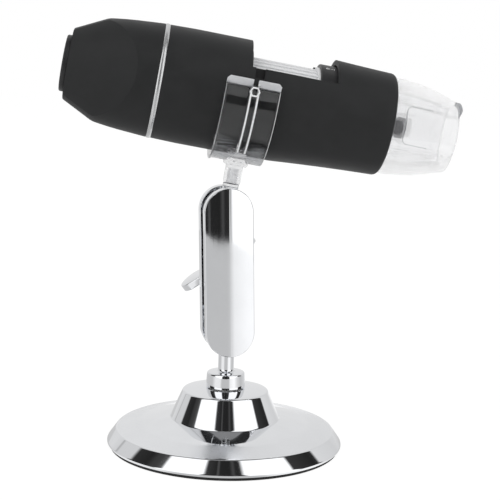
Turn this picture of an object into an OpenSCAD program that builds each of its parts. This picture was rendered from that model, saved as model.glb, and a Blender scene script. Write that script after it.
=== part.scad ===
// Handheld digital microscope in a clear clip, on a jointed arm with a round weighted base.
// Millimetres. The origin is the centre of the base's underside, +Z is up, and the clamp
// screw of the arm lies along Y. The microscope's front end points to +X.

/* [Base] */
// Height of the widest ring of the base above the table
base_waist_z = 2.1; // [1.8:0.1:2.6]
// Radius of the rim where the top of the base begins
base_rim_r = 32.6; // [30:0.2:36]
// How far the widest ring stands out past that rim
base_flare = 2.4; // [1.6:0.1:3]
// Height of that rim
base_rim_z = 5.8; // [5.4:0.1:6.4]
// Radius at the foot of the cone
cone_foot_r = 16.3; // [15:0.2:18]
// Height of the foot of the cone
cone_foot_z = 8.7; // [8.2:0.1:9.5]
// Radius of the cone's flat top
cone_top_r = 12.95; // [11.5:0.05:14]
// Height of the cone's flat top
cone_top_z = 17.1; // [16:0.1:19]
// Wall of the pressed base shell
base_wall = 1.6; // [1.2:0.1:2]
// Thickness of the foam pad under the base
pad_t = 1.2; // [0.8:0.1:1.5]
// How far the foam pad's edge lies inside the widest ring
pad_inset = 0.8; // [0.4:0.1:1.2]
// Radius of the hole in the middle of the iron weight
weight_hole_r = 10; // [9:0.5:12]

/* [Ball stud] */
// Radius of the stud's shank in its bush
shank_r = 2.5; // [2:0.1:3]
// Wall of the plastic bush round the shank
bush_wall = 2; // [1.5:0.1:2.5]
// Radius of the stud's collar
collar_r = 5.8; // [5:0.1:7]
// Height of the collar's top face
collar_top_z = 23; // [22.5:0.1:24]
// Radius of the post between collar and ball
post_r = 2.35; // [2:0.05:2.4]
// Radius of both balls
ball_r = 4; // [3.6:0.1:4.3]
// Height of the lower ball's centre
lower_ball_z = 35.5; // [34:0.5:38]
// Height of the hexagon nut under the cone
nut_h = 3.2; // [2.5:0.1:4]
// Radius of the nut over its corners
nut_r = 4.6; // [4.2:0.1:5.5]

/* [Arm] */
// Distance between the two ball centres
ball_span = 35.2; // [32:0.2:40]
// Half the width of an arm shell
arm_r = 7.25; // [6.8:0.05:8]
// Depth of a shell's straight side
arm_rim = 3; // [2.6:0.1:3.4]
// Rise of the crowned face over the side
arm_crown = 1; // [0.7:0.1:1.4]
// Half the gap between the two shells
arm_gap = 2.65; // [2.65:0.05:2.9]
// Wall of the hollow arm shells
arm_wall = 1.2; // [1:0.1:1.4]
// Lean of the arm from upright, top towards -X
arm_lean = 2.2; // [0:0.2:10]
// Radius of the clamp screw
clamp_r = 2; // [1.6:0.1:2.2]
// Pitch of the clamp screw's thread
clamp_pitch = 0.7; // [0.5:0.1:0.8]
// Reach of a wing's tip from the clamp axis
wing_reach = 13.3; // [11.5:0.5:14]
// Radius of a wing's round ear
wing_r = 4.5; // [3.5:0.1:5]
// Thickness of a wing
wing_t = 2.2; // [1.8:0.1:2.6]
// Angle of the lower wing below level
wing_turn = 34; // [0:1:80]

/* [Clear holder] */
// Tilt of the stem from upright, top towards +X
stem_tilt = 9.4; // [0:0.2:20]
// Distance from the upper ball to the microscope's axis
stem_reach = 33.4; // [32.6:0.2:36]
// Side of the square stem
stem_side = 4.8; // [4.4:0.1:5.4]
// Radius of the round neck between ball and stem
neck_r = 2.35; // [2:0.05:2.4]
// Wall of the clip's band
clip_wall = 2; // [1.6:0.1:2.4]
// Length of the clip along the microscope
clip_len = 15.3; // [13:0.1:17]
// Shift of the clip's band behind the stem
clip_shift = 0.45; // [0:0.05:1]
// Angle above level at which the band ends on each side
clip_end = 11.5; // [5:0.5:25]
// Width of the rib round the clip
clip_rib_w = 2.6; // [2:0.1:3.4]
// Height of the rib over the band
clip_rib_h = 1.1; // [0.8:0.1:1.4]
// Clearance between the clip and the microscope's body
clip_fit = 0.05; // [0.02:0.01:0.1]

/* [Microscope body] */
// Place of the clip's middle in front of the trim ring
clip_t = 26.25; // [24:0.05:27]
// Turn of the microscope about the stem, front towards -Y
body_swivel = 6; // [0:1:20]
// Roll of the microscope in its clip, near side up
body_roll = 5; // [0:1:10]
// Radius of the parallel length that the clip holds
land_r = 16.6; // [16.2:0.1:17]
// Front end of that parallel length
land_end = 35.65; // [34.6:0.05:36]
// How much narrower the body is at the trim ring than at its parallel length
ring_step = 0.2; // [0:0.05:0.4]
// How much narrower the front end is than the parallel length
front_taper = 1.6; // [1.2:0.1:2.2]
// Length from the trim ring to the front face
front_t = 67.55; // [66:0.05:69]
// Radius of the rounded front edge
front_round = 1.3; // [0.8:0.1:1.5]
// Wall of the main shell at its parallel length
land_wall = 2.4; // [2.2:0.05:2.6]
// Width of the silver trim ring
ring_w = 1.3; // [1:0.1:2]
// Distance of the rear face behind the trim ring
rear_t = 25.9; // [25:0.2:28]
// How much narrower the rear face is than the break
rear_taper = 4.5; // [4:0.1:5]
// Distance of the break where the rear taper starts
break_t = 16.5; // [15.5:0.1:17.5]
// How much narrower the body is at that break than at its parallel length
break_step = 1.7; // [1.4:0.05:2]
// Share of the radius taken off at the middle of each cheek
cheek_cut = 0.12; // [0.08:0.01:0.14]
// Width of the rear face outside the end cap
cap_margin = 2.3; // [1.8:0.1:3]
// Thickness of the end cap outside the shell
cap_t = 1.5; // [1:0.1:2.5]

/* [Thumb window] */
// Rear wall of the window, in front of the trim ring
window_start = 24.55; // [23.5:0.05:25.5]
// Front wall of the window
window_end = 49.65; // [49:0.05:50.5]
// Height of the window's sill over the microscope's axis
window_sill = 7.6; // [7:0.1:9]
// Distance from the main shell's bore to the focus wheel's ribs
wheel_gap = 2.3; // [2:0.1:2.8]
// Number of ribs on the focus wheel
wheel_ribs = 36; // [24:2:44]
// Depth of the grooves between the ribs
wheel_rib_h = 0.4; // [0.2:0.05:0.6]
// Distance from the main shell's bore to the black collar in front of the wheel
dial_gap = 0.5; // [0.4:0.05:0.9]
// Rear edge of that collar
dial_start = 45.05; // [44:0.05:45.5]
// Wall of the focus core, which the lens carriage slides in
core_wall = 1.5; // [1.3:0.1:1.9]
// Axial travel of the lens carriage for one turn of the wheel
focus_lead = 16; // [14:0.5:18]
// Radius of the cam pin
cam_pin_r = 0.9; // [0.7:0.1:1.1]
// Radius of the guide rods
rod_r = 0.9; // [0.7:0.1:1]
// Distance from the focus core's bore to the guide rods' middle
rod_inset = 3.1; // [3:0.1:3.3]

/* [Optics and lamps] */
// Radius of the metal lens barrel
barrel_r = 3.1; // [2.8:0.1:3.4]
// Front end of the lens barrel
barrel_front = 73.5; // [72:0.1:76]
// Distance from the hood's spigot outside to the ring that the lamps stand on
lamp_inset = 4; // [3.7:0.1:4.8]
// Number of lamps
lamp_count = 8; // [6:1:8]
// Radius of a lamp
lamp_r = 1.5; // [1.2:0.1:1.8]
// Width of the body's front edge outside the hood's flange
flange_step = 0.8; // [0.4:0.1:1.2]
// Width of the hood's flange
hood_flange_w = 2.5; // [2:0.1:3]
// How much narrower the hood's front is than its flange
hood_taper = 3.6; // [3:0.1:4.2]
// Length of the hood in front of the body
hood_len = 19.5; // [17:0.5:22]
// Depth of the two finger flats
flat_depth = 1.3; // [0.8:0.1:1.4]
// Half the width of a finger flat
flat_half = 5.5; // [5:0.1:7]
// Wall of the hood
hood_wall = 2; // [2:0.1:2.4]
// Width of the hood's front rim
hood_rim_w = 2.3; // [2:0.1:3]

/* [Button and socket] */
// Place of the snapshot button behind the trim ring
button_t = 8; // [7:0.5:9]
// Radius of the snapshot button
button_r = 3.5; // [3:0.1:4]
// How far the button stands out of the shell
button_proud = 0.7; // [0.6:0.1:1.2]
// Travel of the button
button_travel = 0.6; // [0.3:0.1:0.7]
// Width of the cord socket
socket_w = 7.7; // [7:0.1:8.2]
// Height of the cord socket
socket_h = 4; // [3.8:0.1:4.4]
// Length of the cord socket
socket_len = 8.5; // [7:0.5:10]
// Thickness of the circuit boards
board_t = 1.2; // [1:0.1:1.6]

/* [Hidden] */

// Clearances: a turning or sliding fit, a seat within one body, and a cut's overshoot
running = 0.07;
seat = 0.1;
cut = 0.5;
smooth = 96;

// Base, derived
base_r = base_rim_r + base_flare;
pad_r = base_r - pad_inset;
weight_top = base_rim_z - base_wall;
weight_r = base_rim_r - 1.1;
cavity_top_z = cone_top_z - base_wall - 0.4;
hole_r = shank_r + running + bush_wall;
washer_t = 0.7;
collar_gap = 0.4;
bowl_round = 2.3;

// Arm, derived
crown_r = (arm_r * arm_r + arm_crown * arm_crown) / (2 * arm_crown);
arm_face = arm_gap + arm_rim + arm_crown;
clamp_z = ball_span / 2;
boss_r = ball_r + 1.4;
clamp_head_r = clamp_r + 1.3;
clamp_head_t = 1.3;
spot_r = clamp_r + 2.7;
spot_face = arm_face - 0.35;
clamp_washer_t = 0.7;
wing_base = spot_face + clamp_washer_t;
hub_r = clamp_r + 2;
hub_len = 5.2;
screw_end = wing_base + hub_len + 1.6;
wing_rise = 6.7;

// Holder, derived
clip_in_r = land_r + clip_fit;
clip_out_r = clip_in_r + clip_wall;
clip_back = -clip_len / 2 - clip_shift;
clip_front = clip_len / 2 - clip_shift;
neck_end = arm_r + 1.1;
spigot_r = 1.5;
spigot_len = 4;
boss_w = stem_side + 1.6;
eyelet_r = clip_rib_w / 2 + 0.45;
eyelet_wall = 0.5;
eyelet_drop = 6;
boss_drop = 1;

// Microscope, derived
half_ring = ring_w / 2;
shell_bore_r = land_r - land_wall;
ring_seat_r = land_r - ring_step;
front_r = land_r - front_taper;
break_r = land_r - break_step;
rear_r = break_r - rear_taper;
cap_r = rear_r - cap_margin;
wheel_r = shell_bore_r - wheel_gap;
dial_r = shell_bore_r - dial_gap;
tube_r = shell_bore_r - seat;
pocket_inset = 1.3;
pocket_w = 2.8;
pocket_drop = 3.1;
pocket_wall = 0.9;
lip_out = 0.65;
tube_end = window_start + lip_out;
tube_start = 8;
bulkhead_end = 12;
light_hole_r = 4.65;
wheel_start = bulkhead_end + 1;
rib_start = tube_end + 0.35;
wheel_ring_w = 0.7;
wheel_collar_r = dial_r - 1.1;
wheel_end = dial_start - wheel_ring_w;
core_r = wheel_r - 1.4;
core_bore_r = core_r - core_wall;
rod_place = core_bore_r - rod_inset;
dial_end = window_end + 1.8;
journal_r = core_r + 1.5;
bush_start = dial_end + 0.3;
journal_end = bush_start + 5.7;
front_seat = front_t - 5.1;
lamp_board_start = front_seat - board_t;
hood_spigot_r = front_r - 3.1;
lamp_ring_r = hood_spigot_r - lamp_inset;
hood_flange_r = front_r - flange_step;
hood_front_r = hood_flange_r - hood_taper;
hood_mouth_r = hood_front_r - hood_rim_w;
hood_break = 8.2;
hood_break_drop = 1.1;
hood_spigot_back = front_seat + 0.4;
hood_front = front_t + hood_len;
carriage_back = 34;
carriage_len = 16;
carriage_r = core_bore_r - running;
carriage_wall = 1.3;
boss_front = 56;
barrel_back = 52;
cam_x = carriage_back + 3;
travel_back = 8;
travel_front = 4;
taper = (break_r - rear_r) / (rear_t - break_t);
apex_t = rear_t + rear_r / taper;
spigot_bore_r = shell_bore_r - 1.8;
board_y = -socket_h / 2;
cap_hole_r = cap_r - 1.1;
rear_wall = 1.7;
stem_foot_y = 5;
button_face = ring_seat_r - 0.5 + button_proud;
screw_head_r = 1.9;
screw_head_t = 1.1;
screw_r = 0.85;
screw_len = 5;
board_screw_x = -4;
board_screw_z = spigot_bore_r - 4.9;
camera_board_r = tube_r - 2.6;
camera_screw_y = camera_board_r - 2.5;
rod_seat = 3;
board_start = -rear_t + 5;
board_break = -13;
board_end = 2.5;
board_half = spigot_bore_r - 2;
board_rear_half = board_half - 4.2;
chip_start = -15.5;
chip_end = -8.5;
chip_half = 3.5;
chip_t = 1.1;
button_flange_y = spigot_bore_r - 1.4;
button_flange_t = 1.2;
cable_half = 1.5;
cable_t = 0.25;
cable_room = 0.3;
sensor_half = 3.2;
flex_half = 4;

// Points of an arc about (cx, cy), from one angle to another
function arc(cx, cy, r, from, to, n) =
    [for (i = [0 : n]) let (a = from + (to - from) * i / n) [cx + r * cos(a), cy + r * sin(a)]];

// Radius of the tapered front half of the body at a distance from the trim ring
function body_r(t) =
    let (s = (t - land_end) / (front_t - land_end))
    land_r - (land_r - front_r) * (1.45 * s - 0.45 * s * s);

// Places a shape in the arm's own frame: lower ball at the origin, arm along Z
module in_arm() {
    translate([0, 0, lower_ball_z]) rotate([0, -arm_lean, 0]) children();
}

// Places a shape in the holder's frame: upper ball at the origin, stem along Z
module in_holder() {
    in_arm() translate([0, 0, ball_span]) rotate([0, stem_tilt + arm_lean, 0])
        rotate([0, 0, -body_swivel]) children();
}

// Places a shape in the microscope's frame: trim ring at the origin, front along X
module in_scope() {
    in_holder() translate([-clip_t, 0, stem_reach]) rotate([-body_roll, 0, 0]) children();
}

// A solid of revolution about X, from points given as radius and place along X
module turned(points) {
    rotate([0, 90, 0]) rotate_extrude($fn = smooth) polygon(points);
}

// A plain cylinder about X
module rod_x(r, from, to) {
    translate([from, 0, 0]) rotate([0, 90, 0]) cylinder(r = r, h = to - from, $fn = smooth);
}

// A plain tube about X
module tube_x(r_out, r_in, from, to) {
    turned([[r_in, from], [r_out, from], [r_out, to], [r_in, to]]);
}

// A plain cylinder about Y
module rod_y(r, from, to) {
    translate([0, from, 0]) rotate([-90, 0, 0]) cylinder(r = r, h = to - from, $fn = smooth);
}

// A box from its lowest corner to its highest
module block(low, high) {
    translate(low) cube(high - low);
}

// Base

// Outline of the base shell outside, from the rim down to the pad and up to the cone
base_outside = concat(
    [[hole_r, cone_top_z]],
    arc(cone_top_r - 0.7, cone_top_z - 0.7, 0.7, 90, 20, 4),
    arc(cone_foot_r - 0.5, cone_foot_z, 0.5, 15, -40, 4),
    [
        [cone_foot_r + 0.9, cone_foot_z - 1.35],
        [cone_foot_r + 2.2, cone_foot_z - 1.85],
        [cone_foot_r + 3.8, base_rim_z + 0.75]
    ],
    [[base_rim_r - 0.5, base_rim_z]],
    [[base_rim_r, base_rim_z - 0.15]],
    [[base_r - 0.15, base_waist_z + 0.5]],
    [[base_r, base_waist_z]],
    [[base_r - 0.2, base_waist_z - 0.4]],
    [[pad_r + 0.2, pad_t]]
);

// Outline of the base shell inside, from the pad up to the stud's hole
base_inside = [
    [weight_r + seat, pad_t],
    [weight_r + seat, weight_top],
    [cone_foot_r - 0.4, weight_top],
    [cone_foot_r - base_wall, cone_foot_z - 0.8],
    [cone_top_r - base_wall + 0.1, cavity_top_z],
    [hole_r, cavity_top_z]
];

module base_shell() {
    color("gainsboro") rotate_extrude($fn = smooth) polygon(concat(base_outside, base_inside));
}

module base_weight() {
    color("dimgray") difference() {
        translate([0, 0, pad_t]) cylinder(r = weight_r, h = weight_top - pad_t, $fn = smooth);
        translate([0, 0, pad_t - cut]) cylinder(r = weight_hole_r, h = weight_top, $fn = smooth);
    }
}

module base_pad() {
    color("black") cylinder(r = pad_r, h = pad_t, $fn = smooth);
}

module swivel_bush() {
    color("white") rotate_extrude($fn = smooth) polygon([
        [shank_r + running, cavity_top_z + seat],
        [hole_r - 0.03, cavity_top_z + seat],
        [hole_r - 0.03, cone_top_z],
        [hole_r + 0.6, cone_top_z],
        [hole_r + 0.6, cone_top_z + 0.3],
        [shank_r + running, cone_top_z + 0.3]
    ]);
}

// Ball stud

module ball_stud() {
    bowl_z = cone_top_z + collar_gap;
    foot_z = cavity_top_z - washer_t - nut_h - 1;
    color("silver") union() {
        rotate_extrude($fn = smooth) polygon(concat(
            [[0, foot_z], [shank_r - 0.4, foot_z], [shank_r, foot_z + 0.4], [shank_r, bowl_z]],
            [[collar_r - bowl_round, bowl_z]],
            arc(collar_r - bowl_round, bowl_z + bowl_round, bowl_round, -70, 0, 6),
            [[collar_r, collar_top_z - 0.6]],
            [[collar_r - 0.4, collar_top_z - 0.15]],
            [[collar_r - 1.1, collar_top_z]],
            [[post_r + 0.6, collar_top_z + 0.2], [post_r, collar_top_z + 0.9]],
            [[post_r, lower_ball_z - ball_r / 2], [0, lower_ball_z - ball_r / 2]]
        ));
        translate([0, 0, lower_ball_z]) sphere(r = ball_r, $fn = smooth);
    }
}

module stud_washer() {
    top = cavity_top_z - seat;
    color("silver") difference() {
        translate([0, 0, top - washer_t]) cylinder(r = hole_r + 2, h = washer_t, $fn = smooth);
        translate([0, 0, top - washer_t - cut])
            cylinder(r = shank_r + seat, h = washer_t + 2 * cut, $fn = smooth);
    }
}

module stud_nut() {
    top = cavity_top_z - seat - washer_t;
    color("silver") difference() {
        translate([0, 0, top - nut_h]) cylinder(r = nut_r, h = nut_h, $fn = 6);
        translate([0, 0, top - nut_h - cut])
            cylinder(r = shank_r + 0.03, h = nut_h + 2 * cut, $fn = smooth);
    }
}

// Arm

// The arm's outline, a slot shape of half width r, as a solid between two places on Y
module arm_outline(r, from, to) {
    for (z = [0, ball_span]) translate([0, 0, z]) rod_y(r, from, to);
    block([-r, from, 0], [r, to, ball_span]);
}

// One arm shell on the +Y side: crowned outside, hollow inside, with three bosses
module arm_shell() {
    difference() {
        intersection() {
            arm_outline(arm_r, arm_gap, arm_face);
            translate([0, arm_face - crown_r, -2 * arm_r])
                cylinder(r = crown_r, h = ball_span + 4 * arm_r, $fn = 2 * smooth);
        }
        difference() {
            arm_outline(arm_r - arm_wall, arm_gap - cut, arm_gap + arm_rim - 0.6);
            for (z = [0, ball_span]) translate([0, 0, z]) rod_y(boss_r, 0, arm_face);
            translate([0, 0, clamp_z]) rod_y(clamp_head_r + 1.1, 0, arm_face);
            block([-0.6, 0, 0], [0.6, arm_face, ball_span]);
        }
        for (z = [0, ball_span]) translate([0, 0, z]) sphere(r = ball_r + running / 2, $fn = smooth);
    }
}

module arm_front_shell() {
    color("silver") in_arm() difference() {
        mirror([0, 1, 0]) arm_shell();
        translate([0, 0, clamp_z]) {
            rod_y(clamp_r + seat / 2, -arm_gap - 2, -arm_gap + cut);
            rod_y(clamp_head_r + seat / 2, -arm_gap - 0.7 - clamp_head_t - seat / 2, -arm_gap - 0.7);
        }
    }
}

module clamp_screw() {
    color("gray") in_arm() translate([0, 0, clamp_z]) union() {
        rod_y(clamp_head_r, -arm_gap - 0.7 - clamp_head_t, -arm_gap - 0.7);
        rod_y(clamp_r, -arm_gap - 0.8, screw_end);
    }
}

module arm_back_shell() {
    color("silver") in_arm() difference() {
        arm_shell();
        translate([0, 0, clamp_z]) {
            rod_y(clamp_r + running, 0, arm_face + cut);
            rod_y(spot_r, spot_face, arm_face + cut);
        }
    }
}

module clamp_washer() {
    color("silver") in_arm() translate([0, 0, clamp_z]) difference() {
        rod_y(spot_r - 0.3, spot_face, spot_face + clamp_washer_t);
        rod_y(clamp_r + running, 0, screw_end);
    }
}

// One wing of the nut, pointing to +X, swept back from the hub to a round ear
module wing() {
    ear_x = wing_reach - wing_r;
    ear_y = wing_base + wing_rise;
    translate([0, 0, -wing_t / 2]) linear_extrude(wing_t) union() {
        translate([ear_x, ear_y]) circle(r = wing_r, $fn = smooth);
        polygon([
            [1, wing_base + 0.5],
            [hub_r, wing_base + 0.5],
            [ear_x + wing_r * cos(-60), ear_y + wing_r * sin(-60)],
            [ear_x + wing_r * cos(150), ear_y + wing_r * sin(150)],
            [hub_r - 0.8, wing_base + hub_len - 0.4],
            [1, wing_base + hub_len - 0.4]
        ]);
    }
}

module wing_nut() {
    color("silver") in_arm() translate([0, 0, clamp_z]) difference() {
        union() {
            rotate([-90, 0, 0]) rotate_extrude($fn = smooth) polygon([
                [0, wing_base + 0.02],
                [hub_r - 0.3, wing_base + 0.02],
                [hub_r, wing_base + 0.4],
                [hub_r - 0.6, wing_base + hub_len - 0.3],
                [hub_r - 1, wing_base + hub_len],
                [0, wing_base + hub_len]
            ]);
            for (side = [0, 180]) rotate([0, side - wing_turn, 0]) wing();
        }
        rod_y(clamp_r + 0.04, 0, screw_end + cut);
    }
}

// Clear holder

module ball_stem() {
    color("lightcyan") in_holder() union() {
        sphere(r = ball_r, $fn = smooth);
        cylinder(r = neck_r, h = neck_end, $fn = smooth);
        cylinder(r = spigot_r, h = neck_end + spigot_len, $fn = smooth);
    }
}

// A ring about the microscope's axis, cut open at the top at an angle above level
module open_ring(r_out, r_in, from, to, end_angle) {
    difference() {
        tube_x(r_out, r_in, from, to);
        translate([from - cut, 0, 0]) rotate([90, 0, 90]) linear_extrude(to - from + 2 * cut)
            polygon([
                [0, 0],
                [2 * r_out * cos(end_angle), 2 * r_out * sin(end_angle)],
                [0, 3 * r_out],
                [-2 * r_out * cos(end_angle), 2 * r_out * sin(end_angle)]
            ]);
    }
}

// The flared lip on one end of the band, on the side given, with its corners cut off
module clip_lip(side) {
    lip_h = 1.7;
    corner = 1.3;
    rotate([side * clip_end, 0, 0]) mirror([0, side < 0 ? 1 : 0, 0]) difference() {
        rotate([90, 0, 90]) translate([0, 0, clip_back]) linear_extrude(clip_len) polygon([
            [clip_in_r + 0.05, -0.8],
            [clip_out_r, -0.8],
            [clip_out_r + 0.9, lip_h - 0.4],
            [clip_out_r - 0.5, lip_h],
            [clip_in_r + 0.35, 0]
        ]);
        for (x = [clip_back, clip_front]) translate([x, clip_out_r, lip_h + 0.2]) rotate([0, 45, 0])
            cube([corner, 2 * clip_wall + 2, corner], center = true);
    }
}

// The small six-sided eyelet where the rib ends, on the side given
module clip_eyelet(side) {
    rotate([side * (clip_end - eyelet_drop), 0, 0]) rotate([0, 0, side < 0 ? 180 : 0]) difference() {
        rotate([-90, 0, 0]) cylinder(r = eyelet_r, h = clip_out_r + clip_rib_h + 0.2, $fn = 6);
        rotate([-90, 0, 0]) cylinder(r = eyelet_r - eyelet_wall, h = 2 * clip_out_r, $fn = 6);
        rod_x(clip_out_r - 0.4, -clip_len, clip_len);
    }
}

module holder_clip() {
    socket_top = neck_end + spigot_len + 0.3;
    band_foot = stem_reach - clip_out_r;
    color("lightcyan") in_holder() difference() {
        union() {
            translate([0, 0, stem_reach]) {
                open_ring(clip_out_r, clip_in_r, clip_back, clip_front, clip_end);
                open_ring(clip_out_r + 0.5, clip_out_r - 0.4, clip_back, clip_back + 0.7, clip_end - 2);
                open_ring(clip_out_r + clip_rib_h, clip_out_r - 0.4, -clip_rib_w / 2, clip_rib_w / 2,
                          clip_end - eyelet_drop);
                for (side = [-1, 1]) {
                    clip_lip(side);
                    clip_eyelet(side);
                }
            }
            block([-stem_side / 2, -stem_side / 2, neck_end + seat / 2],
                  [stem_side / 2, stem_side / 2, band_foot + clip_wall / 2]);
            block([-boss_w / 2, -stem_foot_y, band_foot - boss_drop],
                  [boss_w / 2, stem_foot_y, band_foot + clip_wall / 2 + 0.6]);
        }
        translate([0, 0, stem_reach]) {
            rod_x(clip_in_r, -clip_len, clip_len);
            difference() {
                tube_x(clip_out_r + clip_rib_h + cut, clip_out_r + clip_rib_h - 0.7,
                       -clip_rib_w / 2 + 0.6, clip_rib_w / 2 - 0.6);
                block([-clip_rib_w, -stem_foot_y, -2 * clip_out_r], [clip_rib_w, stem_foot_y, 0]);
            }
        }
        cylinder(r = spigot_r + running, h = socket_top, $fn = smooth);
    }
}

// Microscope shells

// Outline of the main shell outside, from the trim ring to the front face
main_outside = concat(
    [[shell_bore_r, half_ring], [ring_seat_r, half_ring], [land_r, 8]],
    [for (i = [0 : 8]) let (t = land_end + (front_t - front_round - land_end) * i / 8) [body_r(t), t]],
    arc(front_r - front_round, front_t - front_round, front_round, 15, 90, 5)
);

module main_shell() {
    hood_bore_r = hood_spigot_r + running;
    color("dimgray") in_scope() difference() {
        turned(concat(main_outside, [
            [hood_bore_r, front_t],
            [hood_bore_r, front_seat],
            [shell_bore_r, front_seat]
        ]));
        block([window_start, -2 * land_r, window_sill], [window_end, 2 * land_r, 2 * land_r]);
        difference() {
            block([window_start + pocket_inset, -2 * land_r, window_sill - pocket_drop],
                  [window_start + pocket_inset + pocket_w, 0, window_sill + cut]);
            rod_x(shell_bore_r + pocket_wall, window_start, window_end);
        }
    }
}

// One flattened cheek of the rear taper: a wider cone through the same apex.
// Its axis is shifted so that it meets the round taper 59 degrees from the cheek's middle.
module cheek_cone(side) {
    edge = cos(59);
    shift = (1 - pow(1 - cheek_cut, 2)) / (2 * (1 - cheek_cut - edge));
    reach = 1 - cheek_cut + shift;
    length = apex_t + half_ring + 8;
    lean = atan(shift * taper);
    translate([-apex_t, 0, 0]) rotate([0, 0, side * lean]) rotate([0, 90, 0])
        cylinder(r1 = 0, r2 = reach * taper * length, h = length, $fn = 2 * smooth);
}

rear_outside = [
    [0, -rear_t],
    [rear_r - 0.3, -rear_t],
    [rear_r, -rear_t + 0.3],
    [break_r, -break_t],
    [break_r + 0.2, -break_t + 1.6],
    [break_r + 0.55, -break_t + 4.5],
    [break_r + 1.1, -6],
    [ring_seat_r, -half_ring],
    [0, -half_ring]
];

rear_inside = [
    [0, -rear_t + rear_wall],
    [cap_r - 0.4, -rear_t + rear_wall],
    [break_r - 3.4, -break_t],
    [spigot_bore_r, -10],
    [spigot_bore_r, 5.5 + cut],
    [0, 5.5 + cut]
];

module rear_shell() {
    color("dimgray") in_scope() difference() {
        union() {
            difference() {
                intersection() {
                    turned(rear_outside);
                    cheek_cone(1);
                    cheek_cone(-1);
                }
                turned(rear_inside);
            }
            tube_x(tube_r, spigot_bore_r, -half_ring - 1, 5.5);
            for (side = [-1, 1]) difference() {
                translate([board_screw_x, 0, side * board_screw_z])
                    rod_y(2, -spigot_bore_r + 1.5, board_y - board_t);
                tube_x(2 * land_r, spigot_bore_r + 0.8, -8, 0);
            }
        }
        rod_x(cap_hole_r, -rear_t - cut, -rear_t + rear_wall + cut);
        translate([-button_t, 0, 0]) rod_y(button_r + seat, 6, 2 * land_r);
        for (side = [-1, 1]) translate([board_screw_x, 0, side * board_screw_z])
            rod_y(screw_r + 0.02, board_y - board_t - screw_len, board_y - board_t + cut);
    }
}

module trim_ring() {
    color("silver") in_scope()
        tube_x(ring_seat_r + 0.12, tube_r + 0.05, -half_ring, half_ring);
}

module end_cap() {
    color("black") in_scope() difference() {
        union() {
            turned([
                [0, -rear_t - cap_t],
                [cap_r - 0.4, -rear_t - cap_t],
                [cap_r, -rear_t - cap_t + 0.4],
                [cap_r, -rear_t],
                [0, -rear_t]
            ]);
            rod_x(cap_hole_r - seat, -rear_t - cut, -rear_t + rear_wall);
        }
        block([-rear_t - cap_t - cut, -socket_h / 2 - 0.15, -socket_w / 2 - 0.15],
              [-rear_t + rear_wall + cut, socket_h / 2 + 0.15, socket_w / 2 + 0.15]);
    }
}

module cord_socket() {
    front = -rear_t - cap_t + 0.5;
    color("silver") in_scope() {
        difference() {
            block([front, -socket_h / 2, -socket_w / 2],
                  [front + socket_len, socket_h / 2, socket_w / 2]);
            block([front - cut, -socket_h / 2 + 0.35, -socket_w / 2 + 0.35],
                  [front + socket_len - 1.2, socket_h / 2 - 0.35, socket_w / 2 - 0.35]);
        }
        block([front + 1, -0.5, -socket_w / 2 + 1.6],
              [front + socket_len - 1.2 + 0.1, 0.5, socket_w / 2 - 1.6]);
    }
}

// Fixed pieces inside the microscope

module guide_tube() {
    color("black") in_scope() difference() {
        turned([
            [light_hole_r, tube_start],
            [tube_r, tube_start],
            [tube_r, tube_end],
            [wheel_r + running, tube_end],
            [wheel_r + running, bulkhead_end],
            [light_hole_r, bulkhead_end]
        ]);
        cable_channel(tube_start, tube_end);
        for (side = [-1, 1]) {
            translate([0, side * camera_screw_y, 0])
                rod_x(screw_r + 0.02, tube_start - cut, bulkhead_end + cut);
            translate([0, 0, side * rod_place])
                rod_x(rod_r + 0.02, bulkhead_end - rod_seat, bulkhead_end + cut);
        }
    }
}

// Channel along the bottom of a ring for the lamp cable
module cable_channel(from, to) {
    block([from - cut, -cable_half - cable_room, -shell_bore_r],
          [to + cut, cable_half + cable_room, -shell_bore_r + 1]);
}

module front_bush() {
    color("black") in_scope() difference() {
        turned([
            [journal_r + running, bush_start],
            [tube_r, bush_start],
            [tube_r, lamp_board_start],
            [core_bore_r + 0.5, lamp_board_start],
            [core_bore_r + 0.5, journal_end + 0.3],
            [journal_r + running, journal_end + 0.3]
        ]);
        cable_channel(bush_start, lamp_board_start);
    }
}

module guide_rods() {
    color("silver") in_scope() for (side = [-1, 1]) translate([0, 0, side * rod_place])
        rod_x(rod_r, bulkhead_end - rod_seat, boss_front - 2);
}

module camera_board() {
    color("green") in_scope() difference() {
        rod_x(camera_board_r, tube_start - board_t, tube_start);
        for (side = [-1, 1]) translate([0, side * camera_screw_y, 0])
            rod_x(screw_r + seat, tube_start - board_t - cut, tube_start + cut);
    }
}

module image_sensor() {
    color("black") in_scope()
        block([tube_start, -sensor_half, -sensor_half], [tube_start + 1.4, sensor_half, sensor_half]);
}

module main_board() {
    color("green") in_scope() difference() {
        translate([0, board_y, 0]) rotate([90, 0, 0]) linear_extrude(board_t) polygon([
            [board_start, -board_rear_half],
            [board_break, -board_half],
            [board_end, -board_half],
            [board_end, board_half],
            [board_break, board_half],
            [board_start, board_rear_half]
        ]);
        for (side = [-1, 1]) translate([board_screw_x, 0, side * board_screw_z])
            rod_y(screw_r + seat, board_y - board_t - cut, board_y + cut);
    }
}

module controller_chip() {
    color("black") in_scope()
        block([chip_start, board_y - board_t - chip_t, -chip_half],
              [chip_end, board_y - board_t, chip_half]);
}

module button_switch() {
    top = board_y + 3.5;
    color("black") in_scope() difference() {
        block([-button_t - 3, board_y, -3], [-button_t + 3, top, 3]);
        translate([-button_t, 0, 0]) rod_y(1.6 + seat, board_y + 0.8, top + cut);
    }
}

module sensor_cable() {
    color("orange") in_scope()
        block([board_screw_x + 1, board_y, -flex_half],
              [tube_start - board_t, board_y + 0.5, flex_half]);
}

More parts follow.
